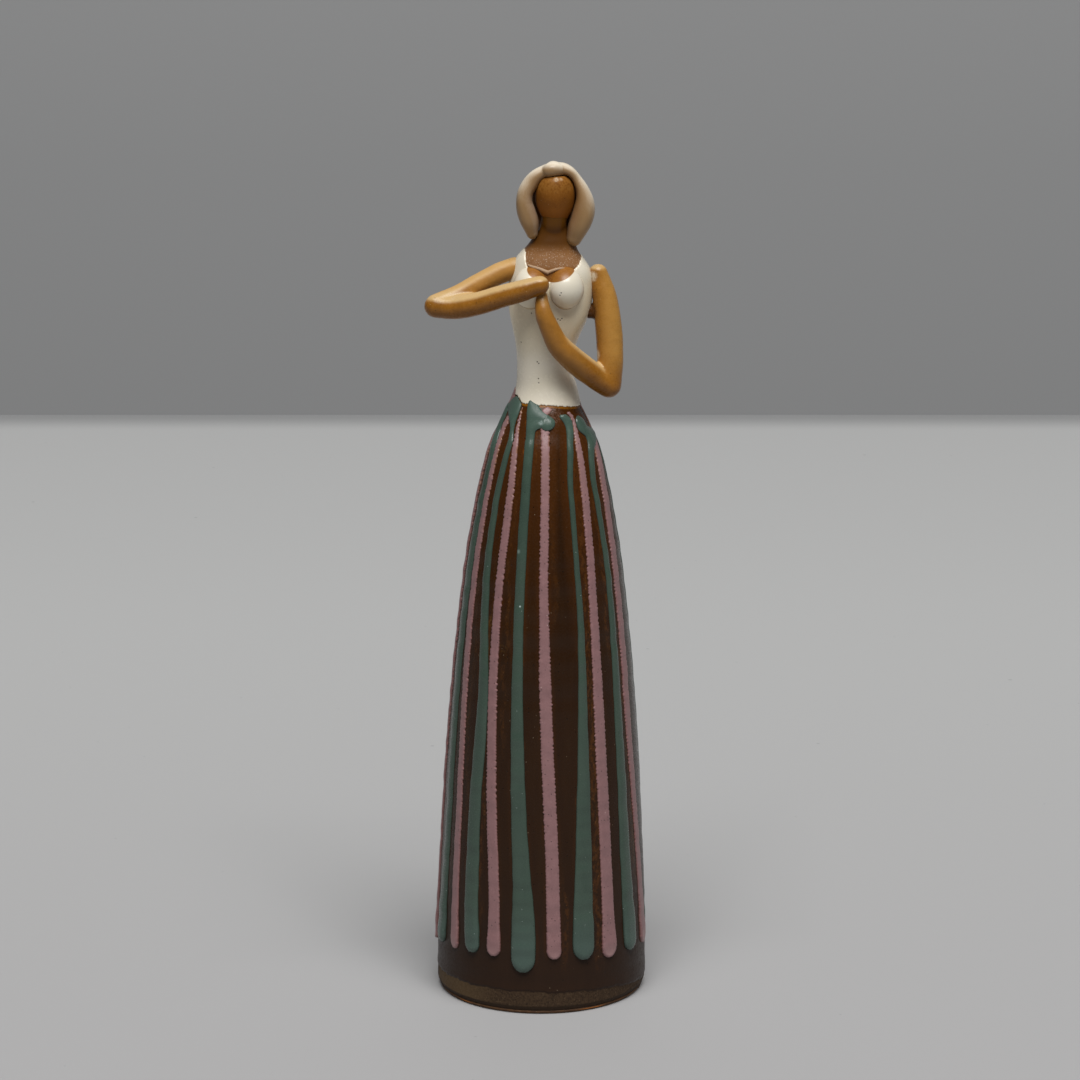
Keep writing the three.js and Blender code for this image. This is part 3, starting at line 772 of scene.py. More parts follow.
def brownGlaze():
    # dark brown that broke to rust in bands, amber beside the trails, and bare clay at the foot, painted
    # darker on its undercut bevel
    glaze = Glaze("brownGlaze", brownLook)
    trailGap = glaze.field("besideTrail")
    rusty = glaze.field("rust") * glaze.cloud(1.1, 3.0, glaze.stretched(1, 1, 2), 0.7).step(0.4, 0.62)
    streaks = glaze.cloud(3.2, 3.0, glaze.stretched(1, 1, 14), 0.6)
    patches = glaze.cloud(11, 2.0, glaze.stretched(1, 1, 3))
    fine = glaze.cloud(0.8, 2.0)
    high = glaze.height.step(110, 200)
    nearFoot = 1 - glaze.height.step(10, 70)
    glow = (1 - trailGap.step(0.05, 1.5)) * patches.step(0.35, 0.75) * (0.35 + 0.65 * high)
    glow = glow * glaze.height.step(4, 30)
    amberSpots = glaze.cloud(1.6, 3.0, glaze.stretched(1, 1, 4), 0.7).step(0.56, 0.74)
    amberSpots = (1 - trailGap.step(0.1, 0.8)) * amberSpots * high.most(0.3)
    whiteEdge = (1 - glaze.field("belowWhite").step(0.4, 0.95)) * glaze.cloud(4, 2.0).step(0.3, 0.56)
    scratches = glaze.near((4.2, -12.4, 198.8), 2, 4.4) * glaze.cloud(0.5, 3.0, rough=0.7).step(0.5, 0.66)
    stain = glaze.near(bodyPoints(-37.4, 131.3), 0.4, 3) * glaze.cloud(1.2, 2.0).step(0.42, 0.6) * 0.6
    lowerStain = glaze.near(bodyPoints(-28, 123.3), 0.2, 2.2) * glaze.cloud(0.9, 2.0).step(0.45, 0.62)
    stain = stain.most(lowerStain * 0.5)
    pits = glaze.specks(1.4, 0.2, 0.3)
    bare = 1 - glaze.field("aboveLine").step(-0.12, 0.12)
    clay = glaze.layers(
        "clay", (glaze.cloud(0.8, 3.0, rough=0.7).step(0.35, 0.7), "clayClouds"),
        (glaze.specks(0.55, 0.17, 0.25), "claySand"), (glaze.specks(0.7, 0.2, 0.2), "clayPits"),
        # the bevel under the bare band is painted darker, painted shade on the undercut foot
        (glaze.near((-30, -18, 5), 5, 24) * 0.5, "clayWarm"), (1 - glaze.height.step(2.5, 3.1), "shadedBevel"),
    )
    glazed = glaze.layers(
        "ground", (streaks.step(0.35, 0.75) * 0.5, "streaks"),
        (high * (1 - trailGap.step(1.5, 4)) * 0.7, "upper"), (nearFoot * 0.5, "nearFoot"), (stain, "stain"),
        (glow * 0.8, "glow"), (amberSpots * 0.7, "amber"), (rusty * 0.75, "rust"),
        (rusty * glaze.specks(0.9, 0.2, 0.35), "rustSpecks"), (scratches * 0.8, "scratches"),
        (whiteEdge * 0.9, "besideWhite"), (pits, "darkSpecks"), (glaze.specks(2.6, 0.16, 0.4), "paleSpecks"),
    )
    glaze.finish(
        glaze.layers(glazed, (bare, clay)),
        0.22 + 0.14 * fine.step(0.4, 0.7) + 0.2 * scratches + 0.15 * nearFoot + 0.3 * bare,
        0.05 * streaks + 0.03 * fine + 0.09 * bare * glaze.cloud(0.5, 3.0) - 0.12 * pits,
        Specular_IOR_Level=0.16,
    )
    return glaze


skirtThrown, skirtFields = skirtShape()
addPiece("skirtThrown", skirtThrown, brownGlaze(), ["skirt"], "brown_glaze", **skirtFields)
print("skirt:", len(skirtThrown[0]), "points")

# the slab that closes the foot, with a plug in the hollow and a vent pricked through it
slab = {
    "top": 1.2,
    "middle": 3.8,
    "plug": 30.4,
    "vent": 1.5,
    "ventBack": 11,
    "colours": {"clay": "#604329", "clouds": "#4a3220", "sand": "#6d5a48", "rust": "#b06a2a"},
    # two painted amber glints on the edge, in the rust colour
    "amberGlints": [((-26, -24, 0.7), 1.5, 4), ((17, -29.5, 0.7), 2, 6)],  # place, full within, gone beyond
}


def slabRing(radius, height, share=0.0, radiusAtVent=0.0):
    # share 0 is a ring round the middle, 1 is the vent's own ring
    turn = np.radians(skirtAzimuths)
    across = radius * (1 - share) + radiusAtVent * share
    x = lean * height + across * np.sin(turn)
    y = slab["ventBack"] * share - across * np.cos(turn)
    return np.stack([x, y, np.full(skirt["sides"], float(height))], -1)


def slabShape():
    rim = body["footRadius"] - skirt["bevelDepth"]
    slope = skirt["bevelDepth"] / skirt["bevelHeight"]
    shares = [0.1, 0.3, 0.5, 0.7, 0.85, 0.95, 1]
    rings = [slabRing(rim - 0.35, 0), slabRing(rim - 0.05, 0.12), slabRing(rim + slope * 0.4, 0.4)]
    rings += [slabRing(rim + slope * slab["top"] - 0.1, slab["top"])]
    rings += [slabRing(slab["plug"], slab["top"]), slabRing(slab["plug"], slab["middle"])]
    rings += [slabRing(slab["plug"], slab["middle"], share, slab["vent"]) for share in shares]
    rings += [slabRing(0, 0.3, 1, slab["vent"]), slabRing(0, 0, 1, slab["vent"] + 0.3)]
    rings += [slabRing(rim - 0.35, 0, share, slab["vent"] + 0.3) for share in shares[-2::-1]]
    return looped(rings)


def bareClay():
    # fired clay with sand in it, and two painted amber glints on its edge
    glaze = Glaze("bareClay", slab["colours"])
    grain = glaze.cloud(0.6, 3.0, rough=0.7)
    first, second = [glaze.near(*mark) for mark in slab["amberGlints"]]
    onEdge = glaze.node("ShaderNodeMath", {"operation": "COMPARE"}, {0: glaze.height, 1: 0.75, 2: 0.14})
    colour = glaze.layers(
        "clay", (glaze.cloud(2.5, 2.0).step(0.35, 0.7), "clouds"), (glaze.specks(0.9, 0.22, 0.3), "sand"),
        (onEdge * first.most(second), "rust"),
    )
    glaze.finish(colour, 0.5 + 0.2 * grain, 0.08 * grain, Specular_IOR_Level=0.25)
    return glaze


addPiece("floorSlab", slabShape(), bareClay(), ["floor_slab"], "bare_clay")
print("floor slab: placed")

pinkLook = {
    "ground": "#8e6969", "mottle": "#825f5f", "grain": "#a17c7b", "rim": "#6b4136", "upper": "#a07e7a",
    "pooled": "#c3a09c", "amberRim": "#8a5a22", "darkSpecks": "#2e1c18", "paleSpecks": "#d8bdb8",
}
greenLook = {
    "ground": "#415146", "drift": "#39493f", "pooled": "#566a64", "rim": "#2c3a31", "upper": "#526a60",
    "paleSpecks": "#c9d4cf", "darkSpecks": "#1c211c", "milky": "#c4d3cf", "blister": "#8fa39c",
}


def pinkGlaze():
    # dry and mottled, and browner where it thins towards the rim
    glaze = Glaze("pinkTrail", pinkLook)
    rimGap = glaze.field("rim")
    grain = glaze.cloud(0.45, 3.0, rough=0.65)
    mottle = glaze.cloud(2.2, 2.0)
    high = glaze.height.step(150, 200)
    pits = glaze.specks(1.1, 0.2, 0.28)
    colour = glaze.layers(
        "ground", (mottle.step(0.35, 0.7) * 0.5, "mottle"), (grain.step(0.5, 0.75) * 0.5, "grain"),
        ((1 - rimGap.step(0.02, 0.3)) * 0.6, "rim"), (high * 0.3, "upper"),
        ((1 - glaze.height.step(17, 24)) * rimGap.step(0.3, 1.2) * 0.35, "pooled"),
        ((1 - rimGap.step(0.05, 0.6)) * high * mottle.step(0.45, 0.6) * 0.6, "amberRim"),
        (pits, "darkSpecks"), (glaze.specks(1.9, 0.16, 0.2), "paleSpecks"),
    )
    glaze.finish(colour, 0.34 + 0.16 * grain, 0.05 * grain - 0.1 * pits)
    return glaze


def greenGlaze():
    # glossy, paler at the lower ends, partly pooled glaze and partly a painted reflection of the floor, with
    # a milky spot at the waist that is partly a painted highlight, and two small ones lower down
    glaze = Glaze("greenTrail", greenLook)
    rimGap = glaze.field("rim")
    drift = glaze.cloud(5, 2.0, glaze.stretched(1, 1, 4))
    # pin holes, each with a pale speck painted in as a glint
    pits = glaze.specks(1.6, 0.12, 0.16)
    # a milky spot, partly whitish glaze and partly a painted highlight
    milky = glaze.near(bodyPoints(-5, 196.2, 1), 0.1, 1.2) * 0.5 * glaze.cloud(0.6, 3.0).step(0.25, 0.6)
    colour = glaze.layers(
        # the lower ends are painted paler, partly pooled glaze and partly a painted reflection of the floor
        "ground", (drift.step(0.35, 0.7) * 0.5, "drift"), ((1 - glaze.height.step(18, 40)) * 0.35, "pooled"),
        ((1 - rimGap.step(0.02, 0.4)) * 0.5, "rim"), (glaze.height.step(180, 200) * 0.35, "upper"),
        (pits, "paleSpecks"), (glaze.specks(2.7, 0.2, 0.14), "darkSpecks"), (milky, "milky"),
        (glaze.near(bodyPoints(-19.6, 155.4, 0.7), 0.1, 1.1) * 0.5, "blister"),
        (glaze.near(bodyPoints(-16.2, 137.6, 0.7), 0.1, 0.45) * 0.8, "paleSpecks"),
    )
    shine = 0.22 + 0.08 * glaze.cloud(0.9).step(0.4, 0.7) + 0.2 * glaze.height.step(197.4, 199)
    glaze.finish(colour, shine, 0.03 * drift - 0.1 * pits, Specular_IOR_Level=0.36)
    return glaze


trailGlazes = {"pink": pinkGlaze(), "green": greenGlaze()}
for node, (trailForm, rims) in trailShapes.items():
    kind = node.split("_")[0]
    name = node.replace("_t", "T").replace("_", "")
    addPiece(name, trailForm, trailGlazes[kind], [node], kind + "_glaze", rim=rims)
print("trails: placed")

bodice = {
    "glazeThickness": 0.26,
    "shell": 1.4,
    "sides": 320,
    "lumps": [(0.16, 9, 4)],
    # where the white stops at the neck: azimuth, height above the waist
    "neckline": [
        (-150, 47.6), (-110, 49.4), (-77, 49.8), (-64, 49.2), (-53, 48), (-43, 45.6), (-32, 43.1),
        (-18, 41.2), (-1.5, 40.2), (14, 41), (30, 43.1), (50, 45.1), (66, 46.6), (80, 47.4), (110, 48),
        (150, 47.4), (180, 46.9),
    ],
    # pin holes in the white: across from the middle of the waist, and height above it
    "pits": [
        (-1.9, 13.2), (-2.4, 13.7), (-2, 8.2), (-1.9, 6.8), (-4.2, 29.9), (4.2, 28), (4.9, 27.6),
        (5.5, 28.1), (-7.5, 19.8),
    ],
    "colours": {
        "white": "#e4dbc8", "soft": "#d9cfb6", "warmShade": "#d8c7a0", "edge": "#b7a27b", "pits": "#33281d",
    },
}
neckline = roundTable(bodice["neckline"])
bodiceAzimuths = np.arange(bodice["sides"]) * 360 / bodice["sides"] - 180


def bodiceShape():
    share = np.linspace(0, 1, 211)[:, None]
    share = share + 0.08 * np.sin(2 * math.pi * share) / (-2 * math.pi)  # closer rows at both edges
    low = (whiteLine(bodiceAzimuths) + 0.12 * ripple(21, 6, 13)(bodiceAzimuths))[None]
    high = (waist + neckline(bodiceAzimuths) + 0.1 * ripple(22, 5, 14)(bodiceAzimuths))[None]
    levels = low * (1 - share) + high * share
    fromEdge = np.minimum(levels - low, high - levels)
    coat = bodice["glazeThickness"] * np.sqrt(1 - (1 - np.clip(fromEdge / 0.55, 0, 1)) ** 2)
    outer = bodyPoints(bodiceAzimuths[None], levels, coat)
    inner = bodyPoints(bodiceAzimuths[None], levels[::-6], -bodice["shell"])
    rings = np.concatenate([outer, inner])
    return looped(rings), overRings(rings, fromEdge, 9)


def pinHoles(glaze, scattered, places):
    # scattered specks, and a pin hole at each of the places
    for place in places:
        scattered = scattered.most(glaze.near(place, 0.12, 0.27))
    return scattered


def whiteGlaze():
    # milky white with pin holes, painted warmer over the belly as painted warm shade and amber light thrown
    # from the arms
    glaze = Glaze("whiteGlaze", bodice["colours"])
    soft = glaze.cloud(7, 2.0)
    places = [onTorso(x, up, 0.24)[0] for x, up in bodice["pits"]]
    pits = pinHoles(glaze, glaze.specks(4.2, 0.2, 0.07), places)
    # painted warm shade below the pads and arms
    warmShade = glaze.height.step(waist + 12, waist + 24) * (1 - glaze.height.step(waist + 36, waist + 43))
    colour = glaze.layers(
        "white", (soft.step(0.35, 0.7) * 0.35, "soft"), (warmShade * 0.5, "warmShade"),
        ((1 - glaze.field("edge").step(0.05, 0.35)) * 0.2, "edge"), (pits, "pits"),
    )
    glaze.finish(colour, 0.2 + 0.1 * glaze.cloud(1.5).step(0.4, 0.7), 0.04 * soft - 0.18 * pits)
    return glaze


bodiceShell, bodiceEdge = bodiceShape()
addPiece("bodice", bodiceShell, whiteGlaze(), ["bodice"], "white_glaze", bodice["lumps"], edge=bodiceEdge)
print("bodice: placed")

# amber skin: the arms, the chest and the head each take their own tone of it
skinLook = {"clouds": "#b98440", "sparkle": "#e6cfa4", "specks": "#3a2208", "pool": "#c9b79b"}


def skinGlaze(name, colours, toplitSlopes, toplitShare, pools=()):
    # what faces up is painted paler between the two given slopes, a painted highlight of the light from above
    glaze = Glaze(name, {**skinLook, **colours})
    fine = glaze.cloud(0.7, 3.0, rough=0.65)
    specks = glaze.specks(1.5, 0.17, 0.16)
    faceUp = glaze.field("faceUp")
    colour = glaze.layers(
        "base", (glaze.cloud(4, 3.0, rough=0.6).step(0.35, 0.75) * 0.5, "deepAndUnderShade"),
        (fine.step(0.5, 0.75) * 0.2, "clouds"), (faceUp.step(*toplitSlopes) * toplitShare, "paintedToplight"),
        # what faces down is painted deeper, painted shade on the undersides; the same deep tone also mottles
        # the glaze
        ((1 - faceUp.step(-0.7, 0.15)) * 0.6, "deepAndUnderShade"), (glaze.specks(1.2, 0.13, 0.14) * 0.5, "sparkle"),
        (specks * 0.85, "specks"),
    )
    spots = [
        glaze.near(point, inner, outer) * (0.55 + 0.9 * glaze.cloud(0.7, 3.0).step(0.35, 0.65))
        for point, inner, outer in pools
    ]
    if spots:
        pool = spots[0]
        for spot in spots[1:]:
            pool = pool.most(spot)
        colour = glaze.layers(colour, (pool, "pool"))
    return glaze, colour, fine, specks


def upperPoint(x, y, up):
    return (x + upperShift, y, waist + up)


armLook = {
    "lumps": [(0.14, 7, 7), (0.04, 1.6, 2)],
    "colours": {
        "base": "#94601d", "deepAndUnderShade": "#6f4411", "paintedToplight": "#e1c48e", "pale": "#b98944", "armpitShade": "#4c2c0e",
    },
    # milky pools: place from the waist, full within, gone beyond
    "pools": [
        (17.2, -4.5, 15.5, 0.8, 2.6), (-29.5, -10.5, 34.3, 0.3, 1.6), (-9.6, -3, 46.2, 0.6, 1.8),
        (15.6, -2.4, 41, 0.7, 2.2),
    ],
}
rightArm = {
    "upper": [
        (-9.8, 0.5, 43.5, 3.5), (-15, -1.5, 41.8, 3.5), (-22.1, -4, 38.5, 3.45), (-29, -6.3, 35.1, 3.4),
        (-35.4, -8, 32.4, 3.7),
    ],
    "fore": [
        (-35.5, -8, 32, 3.8), (-29, -9.2, 32, 3.9), (-22, -10.7, 33.4, 3.85), (-14.4, -12.2, 35.9, 3.7),
        (-7.1, -13.5, 38.2, 3.5), (-1.6, -14, 40, 3.15),
    ],
    "crook": [(-34, -8.2, 32.6, 3.3), (-31, -8, 33.3, 3), (-28.4, -7.9, 34, 2.4), (-26, -7.8, 34.6, 1.4)],
}
leftArm = {
    "upper": [
        (17.4, 0, 41.7, 3.2), (19.5, -1, 34.5, 4), (20.5, -2, 27.6, 4.3), (21.2, -3, 20.1, 4.4),
        (21.4, -4, 13.7, 4.3), (20.9, -5, 5.6, 4.3),
    ],
    "fore": [
        (20.9, -5, 5.6, 4.3), (16.3, -7, 8.9, 4.2), (11.7, -9.6, 12.8, 4.15), (7.1, -12, 17.1, 3.95),
        (3.9, -13.3, 21, 3.65), (1.5, -14, 26, 3.25), (-0.3, -14, 30.6, 2.85), (-0.9, -13, 34.2, 2.3),
        (-0.9, -12.2, 36.4, 1.8),
    ],
    "web": [(14, 0, 29.3, 2.5), (16.4, -0.5, 29.2, 2.5), (18.5, -1, 29.2, 2.5)],
}


def armGlaze():
    # the palest amber, with milky pools where it gathered, paler in places, partly painted light, and painted
    # shade in the armpit
    pools = [(upperPoint(*spot[:3]), *spot[3:]) for spot in armLook["pools"]]
    glaze, colour, fine, specks = skinGlaze("armGlaze", armLook["colours"], (0.38, 0.72), 0.6, pools)
    colour = glaze.layers(
        colour, (glaze.field("pale") * (0.45 + 0.4 * glaze.cloud(3, 2.0)), "pale"),
        # painted shade in the armpit, where the upper arm meets the web
        (glaze.near(upperPoint(16, -0.5, 29.2), 2.6, 4.2), "armpitShade"),
    )
    rough = 0.27 + 0.1 * fine.step(0.4, 0.7) + 0.22 * glaze.field("matt")
    glaze.finish(colour, rough, 0.03 * fine - 0.1 * specks, Specular_IOR_Level=0.3)
    return glaze


amberArm = armGlaze()
armShapes = {
    "right": joined(form(rightArm["upper"]), form(rightArm["fore"]), form(rightArm["crook"])),
    "left": joined(form(leftArm["upper"]), form(leftArm["fore"]), form(leftArm["web"], sides=24)),
}
for side, coils in armShapes.items():
    arm = melted(coils, voxel=0.35, rounds=20)
    across, ahead, up = (arm[0] - (upperShift, 0, waist)).T
    if side == "right":  # the far half of the bent right arm came out matter than the rest
        matt = smooth(-9.6, -7.2, ahead)
        # painted paler as well, partly a paler glaze and partly painted light bounced up from the forearm
        pale = 0.8 * matt
    else:
        matt = 0.35 * smooth(14, 7, across)
        # the outer side is painted paler, partly a paler glaze tone and partly painted light from the right
        pale = smooth(15.5, 21.5, across) * smooth(6, 18, up) + 0.3 * smooth(16, 11, across)
    addPiece(
        side + "Arm", arm, amberArm, [side + "_arm"], "skin_glaze", armLook["lumps"], matt=matt, pale=pale,
    )
print("arms: placed")

# neck and chest, with two thin crests of clay above the pads
chest = {
    "below": 4.5,  # how far it reaches under the neckline
    "top": 61.5,
    "lumps": [(0.08, 4, 3)],
    "colours": {
        "base": "#805326", "deepAndUnderShade": "#6c431c", "paintedToplight": "#8a5c2b", "chinShadow": "#50300f", "neck": "#67400d",
        "frost": "#9b7b60", "flecks": "#e6d6c0", "crest": "#c4ad92",
    },
    # across from the middle of the waist, height above it, half thickness
    "crests": [
        [(-5.4, 45.3, 0.3), (-4, 44.8, 0.5), (-2.2, 44.4, 0.55), (0.7, 43.3, 0.75)],
        [(0.8, 43.2, 0.7), (3, 44, 0.55), (4.9, 44.4, 0.5), (6.6, 44.3, 0.4), (8, 44, 0.25)],
    ],
    "throat": [(2.8, -0.3, 52, 3), (2.9, -0.7, 55, 3.4), (3, -1.2, 58, 3.9), (3.2, -1.5, 61, 4.2)],
}


def chestShape():
    share = np.linspace(0, 1, 90)[:, None]
    low = (waist + neckline(bodiceAzimuths) - chest["below"])[None]
    levels = low * (1 - share) + (waist + chest["top"]) * share
    rings = bodyPoints(bodiceAzimuths[None], levels, -0.12)
    smeared = melted(joined(capped(rings), form(chest["throat"])), voxel=0.3, rounds=16)
    crests = []
    for marks in chest["crests"]:
        crest = throughStops([(x, 0, up, thick) for x, up, thick in marks], 8)
        places = onTorso(crest[:, 0], crest[:, 2], -0.12)[0] - (upperShift, 0, waist)
        stops = [(*place, row[3]) for place, row in zip(places[::2], crest[::2])]
        crests.append(form(stops, sides=16, perSpan=3))
    onCrest = np.repeat([0, 1], [len(smeared[0]), sum(len(points) for points, _ in crests)])
    return joined(smeared, *crests), onCrest


def chestGlaze():
    # a frost of dry glaze with pale flecks under the neck; above it the neck is painted dark, painted shadow
    # of the head and hair, partly a browner glaze
    glaze, colour, fine, specks = skinGlaze("chestGlaze", chest["colours"], (0.15, 0.95), 0.4)
    frosting = 1 - glaze.height.step(waist + 47, waist + 52.5)
    frosting = glaze.height.step(waist + 43.5, waist + 45.5) * frosting
    frost = frosting * (0.45 + 0.55 * glaze.cloud(0.5, 3.0, rough=0.6).step(0.35, 0.65))
    colour = glaze.layers(
        # painted shadow of the head under the chin, then the neck painted darker still, partly browner glaze
        # and partly painted shade
        colour, (glaze.height.step(waist + 48, waist + 53) * 0.95, "chinShadow"),
        (glaze.height.step(waist + 55.5, waist + 59) * 0.95, "neck"), (frost * 0.45, "frost"),
        (glaze.specks(0.42, 0.14, 0.5) * frosting * 0.55, "flecks"),
        (glaze.field("ridge") * (0.3 + 0.4 * glaze.cloud(0.8, 2.0)), "crest"),
    )
    relief = 0.03 * fine + 0.03 * frost * glaze.cloud(0.5, 2.0) - 0.1 * specks
    glaze.finish(colour, 0.34 + 0.15 * frost, relief, Specular_IOR_Level=0.15)
    return glaze


chestForm, onCrest = chestShape()
addPiece(
    "neckAndChest", chestForm, chestGlaze(), ["neck_and_chest"], "skin_glaze", chest["lumps"], ridge=onCrest,
)
print("chest: placed")

# the head is a smooth blank egg
head = {
    "middle": (3.35, -1),
    "sides": 72,
    "levels": 60,
    "lumps": [(0.12, 4, 5)],
    # height above the waist, half width, half depth
    "rows": [
        (57.6, 2.4, 2.6), (59.2, 3.5, 3.6), (60.6, 4.4, 4.5), (62.2, 5.3, 5.5), (64.2, 6.1, 6.2),
        (66, 6.4, 6.6), (68, 6.5, 6.7), (69.8, 6.3, 6.5), (71.6, 5.75, 6.1), (73, 4.9, 5.4),
        (74, 3.8, 4.3),
    ],
    "colours": {
        "base": "#7a4a16", "deepAndUnderShade": "#65390f", "paintedToplight": "#845726", "litGoldForehead": "#94642a", "jaw": "#8e561b",
    },
    "pools": [(3.7, -6, 73.2, 0.2, 1.2), (5.2, -5.7, 73.3, 0.1, 0.9)],
}


def headShape():
    turn = np.linspace(0, 2 * math.pi, head["sides"], endpoint=False)
    up = np.linspace(head["rows"][0][0], head["rows"][-1][0], head["levels"])
    widths, depths = smoothTable(head["rows"])(up)
    return capped(np.stack([
        upperShift + head["middle"][0] + widths[:, None] * np.sin(turn),
        head["middle"][1] - depths[:, None] * np.cos(turn),
        np.broadcast_to(waist + up[:, None], (head["levels"], head["sides"])),
    ], -1))


def faceGlaze():
    # darker and drier than the arms, partly a browner glaze and partly painted shade under the hair, with two
    # milky spots under the hair
    pools = [(upperPoint(*spot[:3]), *spot[3:]) for spot in head["pools"]]
    glaze, colour, fine, specks = skinGlaze("faceGlaze", head["colours"], (0.15, 0.95), 0.4, pools)
    # the top of the face is painted paler in mottled gold, partly golden glaze and partly painted light from
    # above
    litGoldForehead = glaze.height.step(waist + 67.5, waist + 71) * glaze.cloud(0.8, 3.0).step(0.35, 0.6)
    jaw = 1 - glaze.height.step(waist + 62, waist + 67)
    colour = glaze.layers(colour, (litGoldForehead * 0.6, "litGoldForehead"), (jaw * 0.85, "jaw"))
    rough = 0.42 + 0.14 * fine.step(0.4, 0.7)
    glaze.finish(colour, rough, 0.07 * fine - 0.1 * specks, Specular_IOR_Level=0.12)
    return glaze


addPiece("head", headShape(), faceGlaze(), ["head"], "skin_glaze", head["lumps"])
print("head: placed")

# two pads of clay luted to the chest
pads = {
    "up": 37.9,
    "spread": 5.7,
    "middle": 1.15,
    "halfWidth": 5.4,
    "halfHeight": 6.8,
    "thickness": 4.8,
    "pits": [(4.6, 37.1), (4.3, 36.3)],
    "colours": {
        "white": "#e0d8c6", "soft": "#d7cdb6", "lower": "#d2c09a", "thinAndShadedRim": "#98794e", "pits": "#3b2f24",
        "amber": "#8f5a1f", "amberClouds": "#a8742e", "amberSpecks": "#3a2208", "brim": "#e3d8c2",
    },
}


def onPad(sign, across, up, flare=0.0):
    # points of a pad's dome; beyond its rim they go into the torso
    sideways = (across - pads["middle"] - sign * pads["spread"]) / pads["halfWidth"]
    upwards = (up - pads["up"]) / pads["halfHeight"]
    away = np.hypot(sideways, upwards)
    fullness = 0.5 + 0.17 * smooth(-0.2, 0.8, upwards)  # full below, running out softly above
    rise = pads["thickness"] * np.clip(1 - away**2, 0, 1) ** fullness - 7.5 * np.clip(away - 1, 0, 1)
    skin, azimuth = onTorso(across, up, 0.15)
    normal = np.stack([np.sin(np.radians(azimuth)), -np.cos(np.radians(azimuth)), 0.12 + 0 * azimuth], -1)
    front = normal * 0.45 + np.array([sign * 0.08, -0.85, 0.0]) * 0.55
    front /= np.linalg.norm(front, axis=-1)[..., None]
    return skin + front * (rise + flare)[..., None]


def padShape(sign):
    turn = np.linspace(0, 2 * math.pi, 96, endpoint=False)
    shares = np.concatenate([np.sin(np.radians(np.linspace(1.5, 90, 40))), [1.06, 1.12]])[:, None]
    across = pads["middle"] + sign * pads["spread"] + pads["halfWidth"] * shares * np.cos(turn)
    up = pads["up"] + pads["halfHeight"] * shares * np.sin(turn)
    below = smooth(0.3, -0.8, np.sin(turn))  # the lower edge flows out into the bodice
    dome = onPad(sign, across, up, 0.15 * below * smooth(0.75, 0.97, shares) * (shares <= 1))
    aboveNeckline = up - neckline(onTorso(across, up)[1])
    # amber shows through where the glaze ran thin along the lower and outer rim, and the same tone is painted
    # shade in the crease round the pad
    outward = smooth(-0.1, 0.6, sign * np.cos(turn) * 0.6 - np.sin(turn) * 0.9)
    rimShade = smooth(0.86, 0.985, shares) * outward
    tips = [aboveNeckline[-1].mean(), aboveNeckline[0].mean()]
    return capped(dome[::-1]), {
        "inNeck": np.concatenate([aboveNeckline[::-1].ravel(), tips]),
        "rimShade": np.concatenate([rimShade[::-1].ravel(), [0, 0]]),
    }


def padGlaze():
    # the same white, with amber skin above the neckline, a lower half painted darker partly as painted shade,
    # and amber where the rim ran thin and painted shade in its crease
    glaze = Glaze("padGlaze", pads["colours"])
    skin = glaze.field("inNeck").step(-0.15, 0.15)
    soft = glaze.cloud(7, 2.0)
    fine = glaze.cloud(0.9, 3.0, rough=0.65)
    pits = pinHoles(glaze, glaze.specks(3.1, 0.22, 0.04), [onPad(1, x, up) for x, up in pads["pits"]])
    white = glaze.layers(
        "white", (soft.step(0.35, 0.7) * 0.3, "soft"),
        # the lower half is painted warmer and darker, partly amber in the glaze and partly painted shade
        # under the dome
        ((1 - glaze.height.step(waist + 32, waist + 38)) * 0.5, "lower"),
        (glaze.field("rimShade") * 0.85, "thinAndShadedRim"), (pits, "pits"),
    )
    specks = glaze.specks(1.3, 0.17, 0.2)
    amber = glaze.layers("amber", (fine.step(0.45, 0.7) * 0.5, "amberClouds"), (specks, "amberSpecks"))
    glaze.finish(
        glaze.layers(white, (skin, amber), (skin * (1 - skin) * 1.6, "brim")),
        0.22 + 0.06 * fine + 0.14 * skin, 0.03 * soft - 0.15 * pits,
    )
    return glaze


whitePad = padGlaze()
for side, sign in (("right", -1), ("left", 1)):
    pad, padFields = padShape(sign)
    addPiece(side + "BreastPad", pad, whitePad, [side + "_breast_pad"], "white_glaze", **padFields)
print("pads: placed")

hairLook = {
    "lumps": [(0.15, 7, 9)],
    "colours": {
        "ground": "#947550", "low": "#916f43", "paintedLightUpRight": "#e3d6c0", "soft": "#a88a60",
        "shadeTowardsFace": "#774f26", "backShade": "#6b4522", "specks": "#7a5a3a",
    },
}
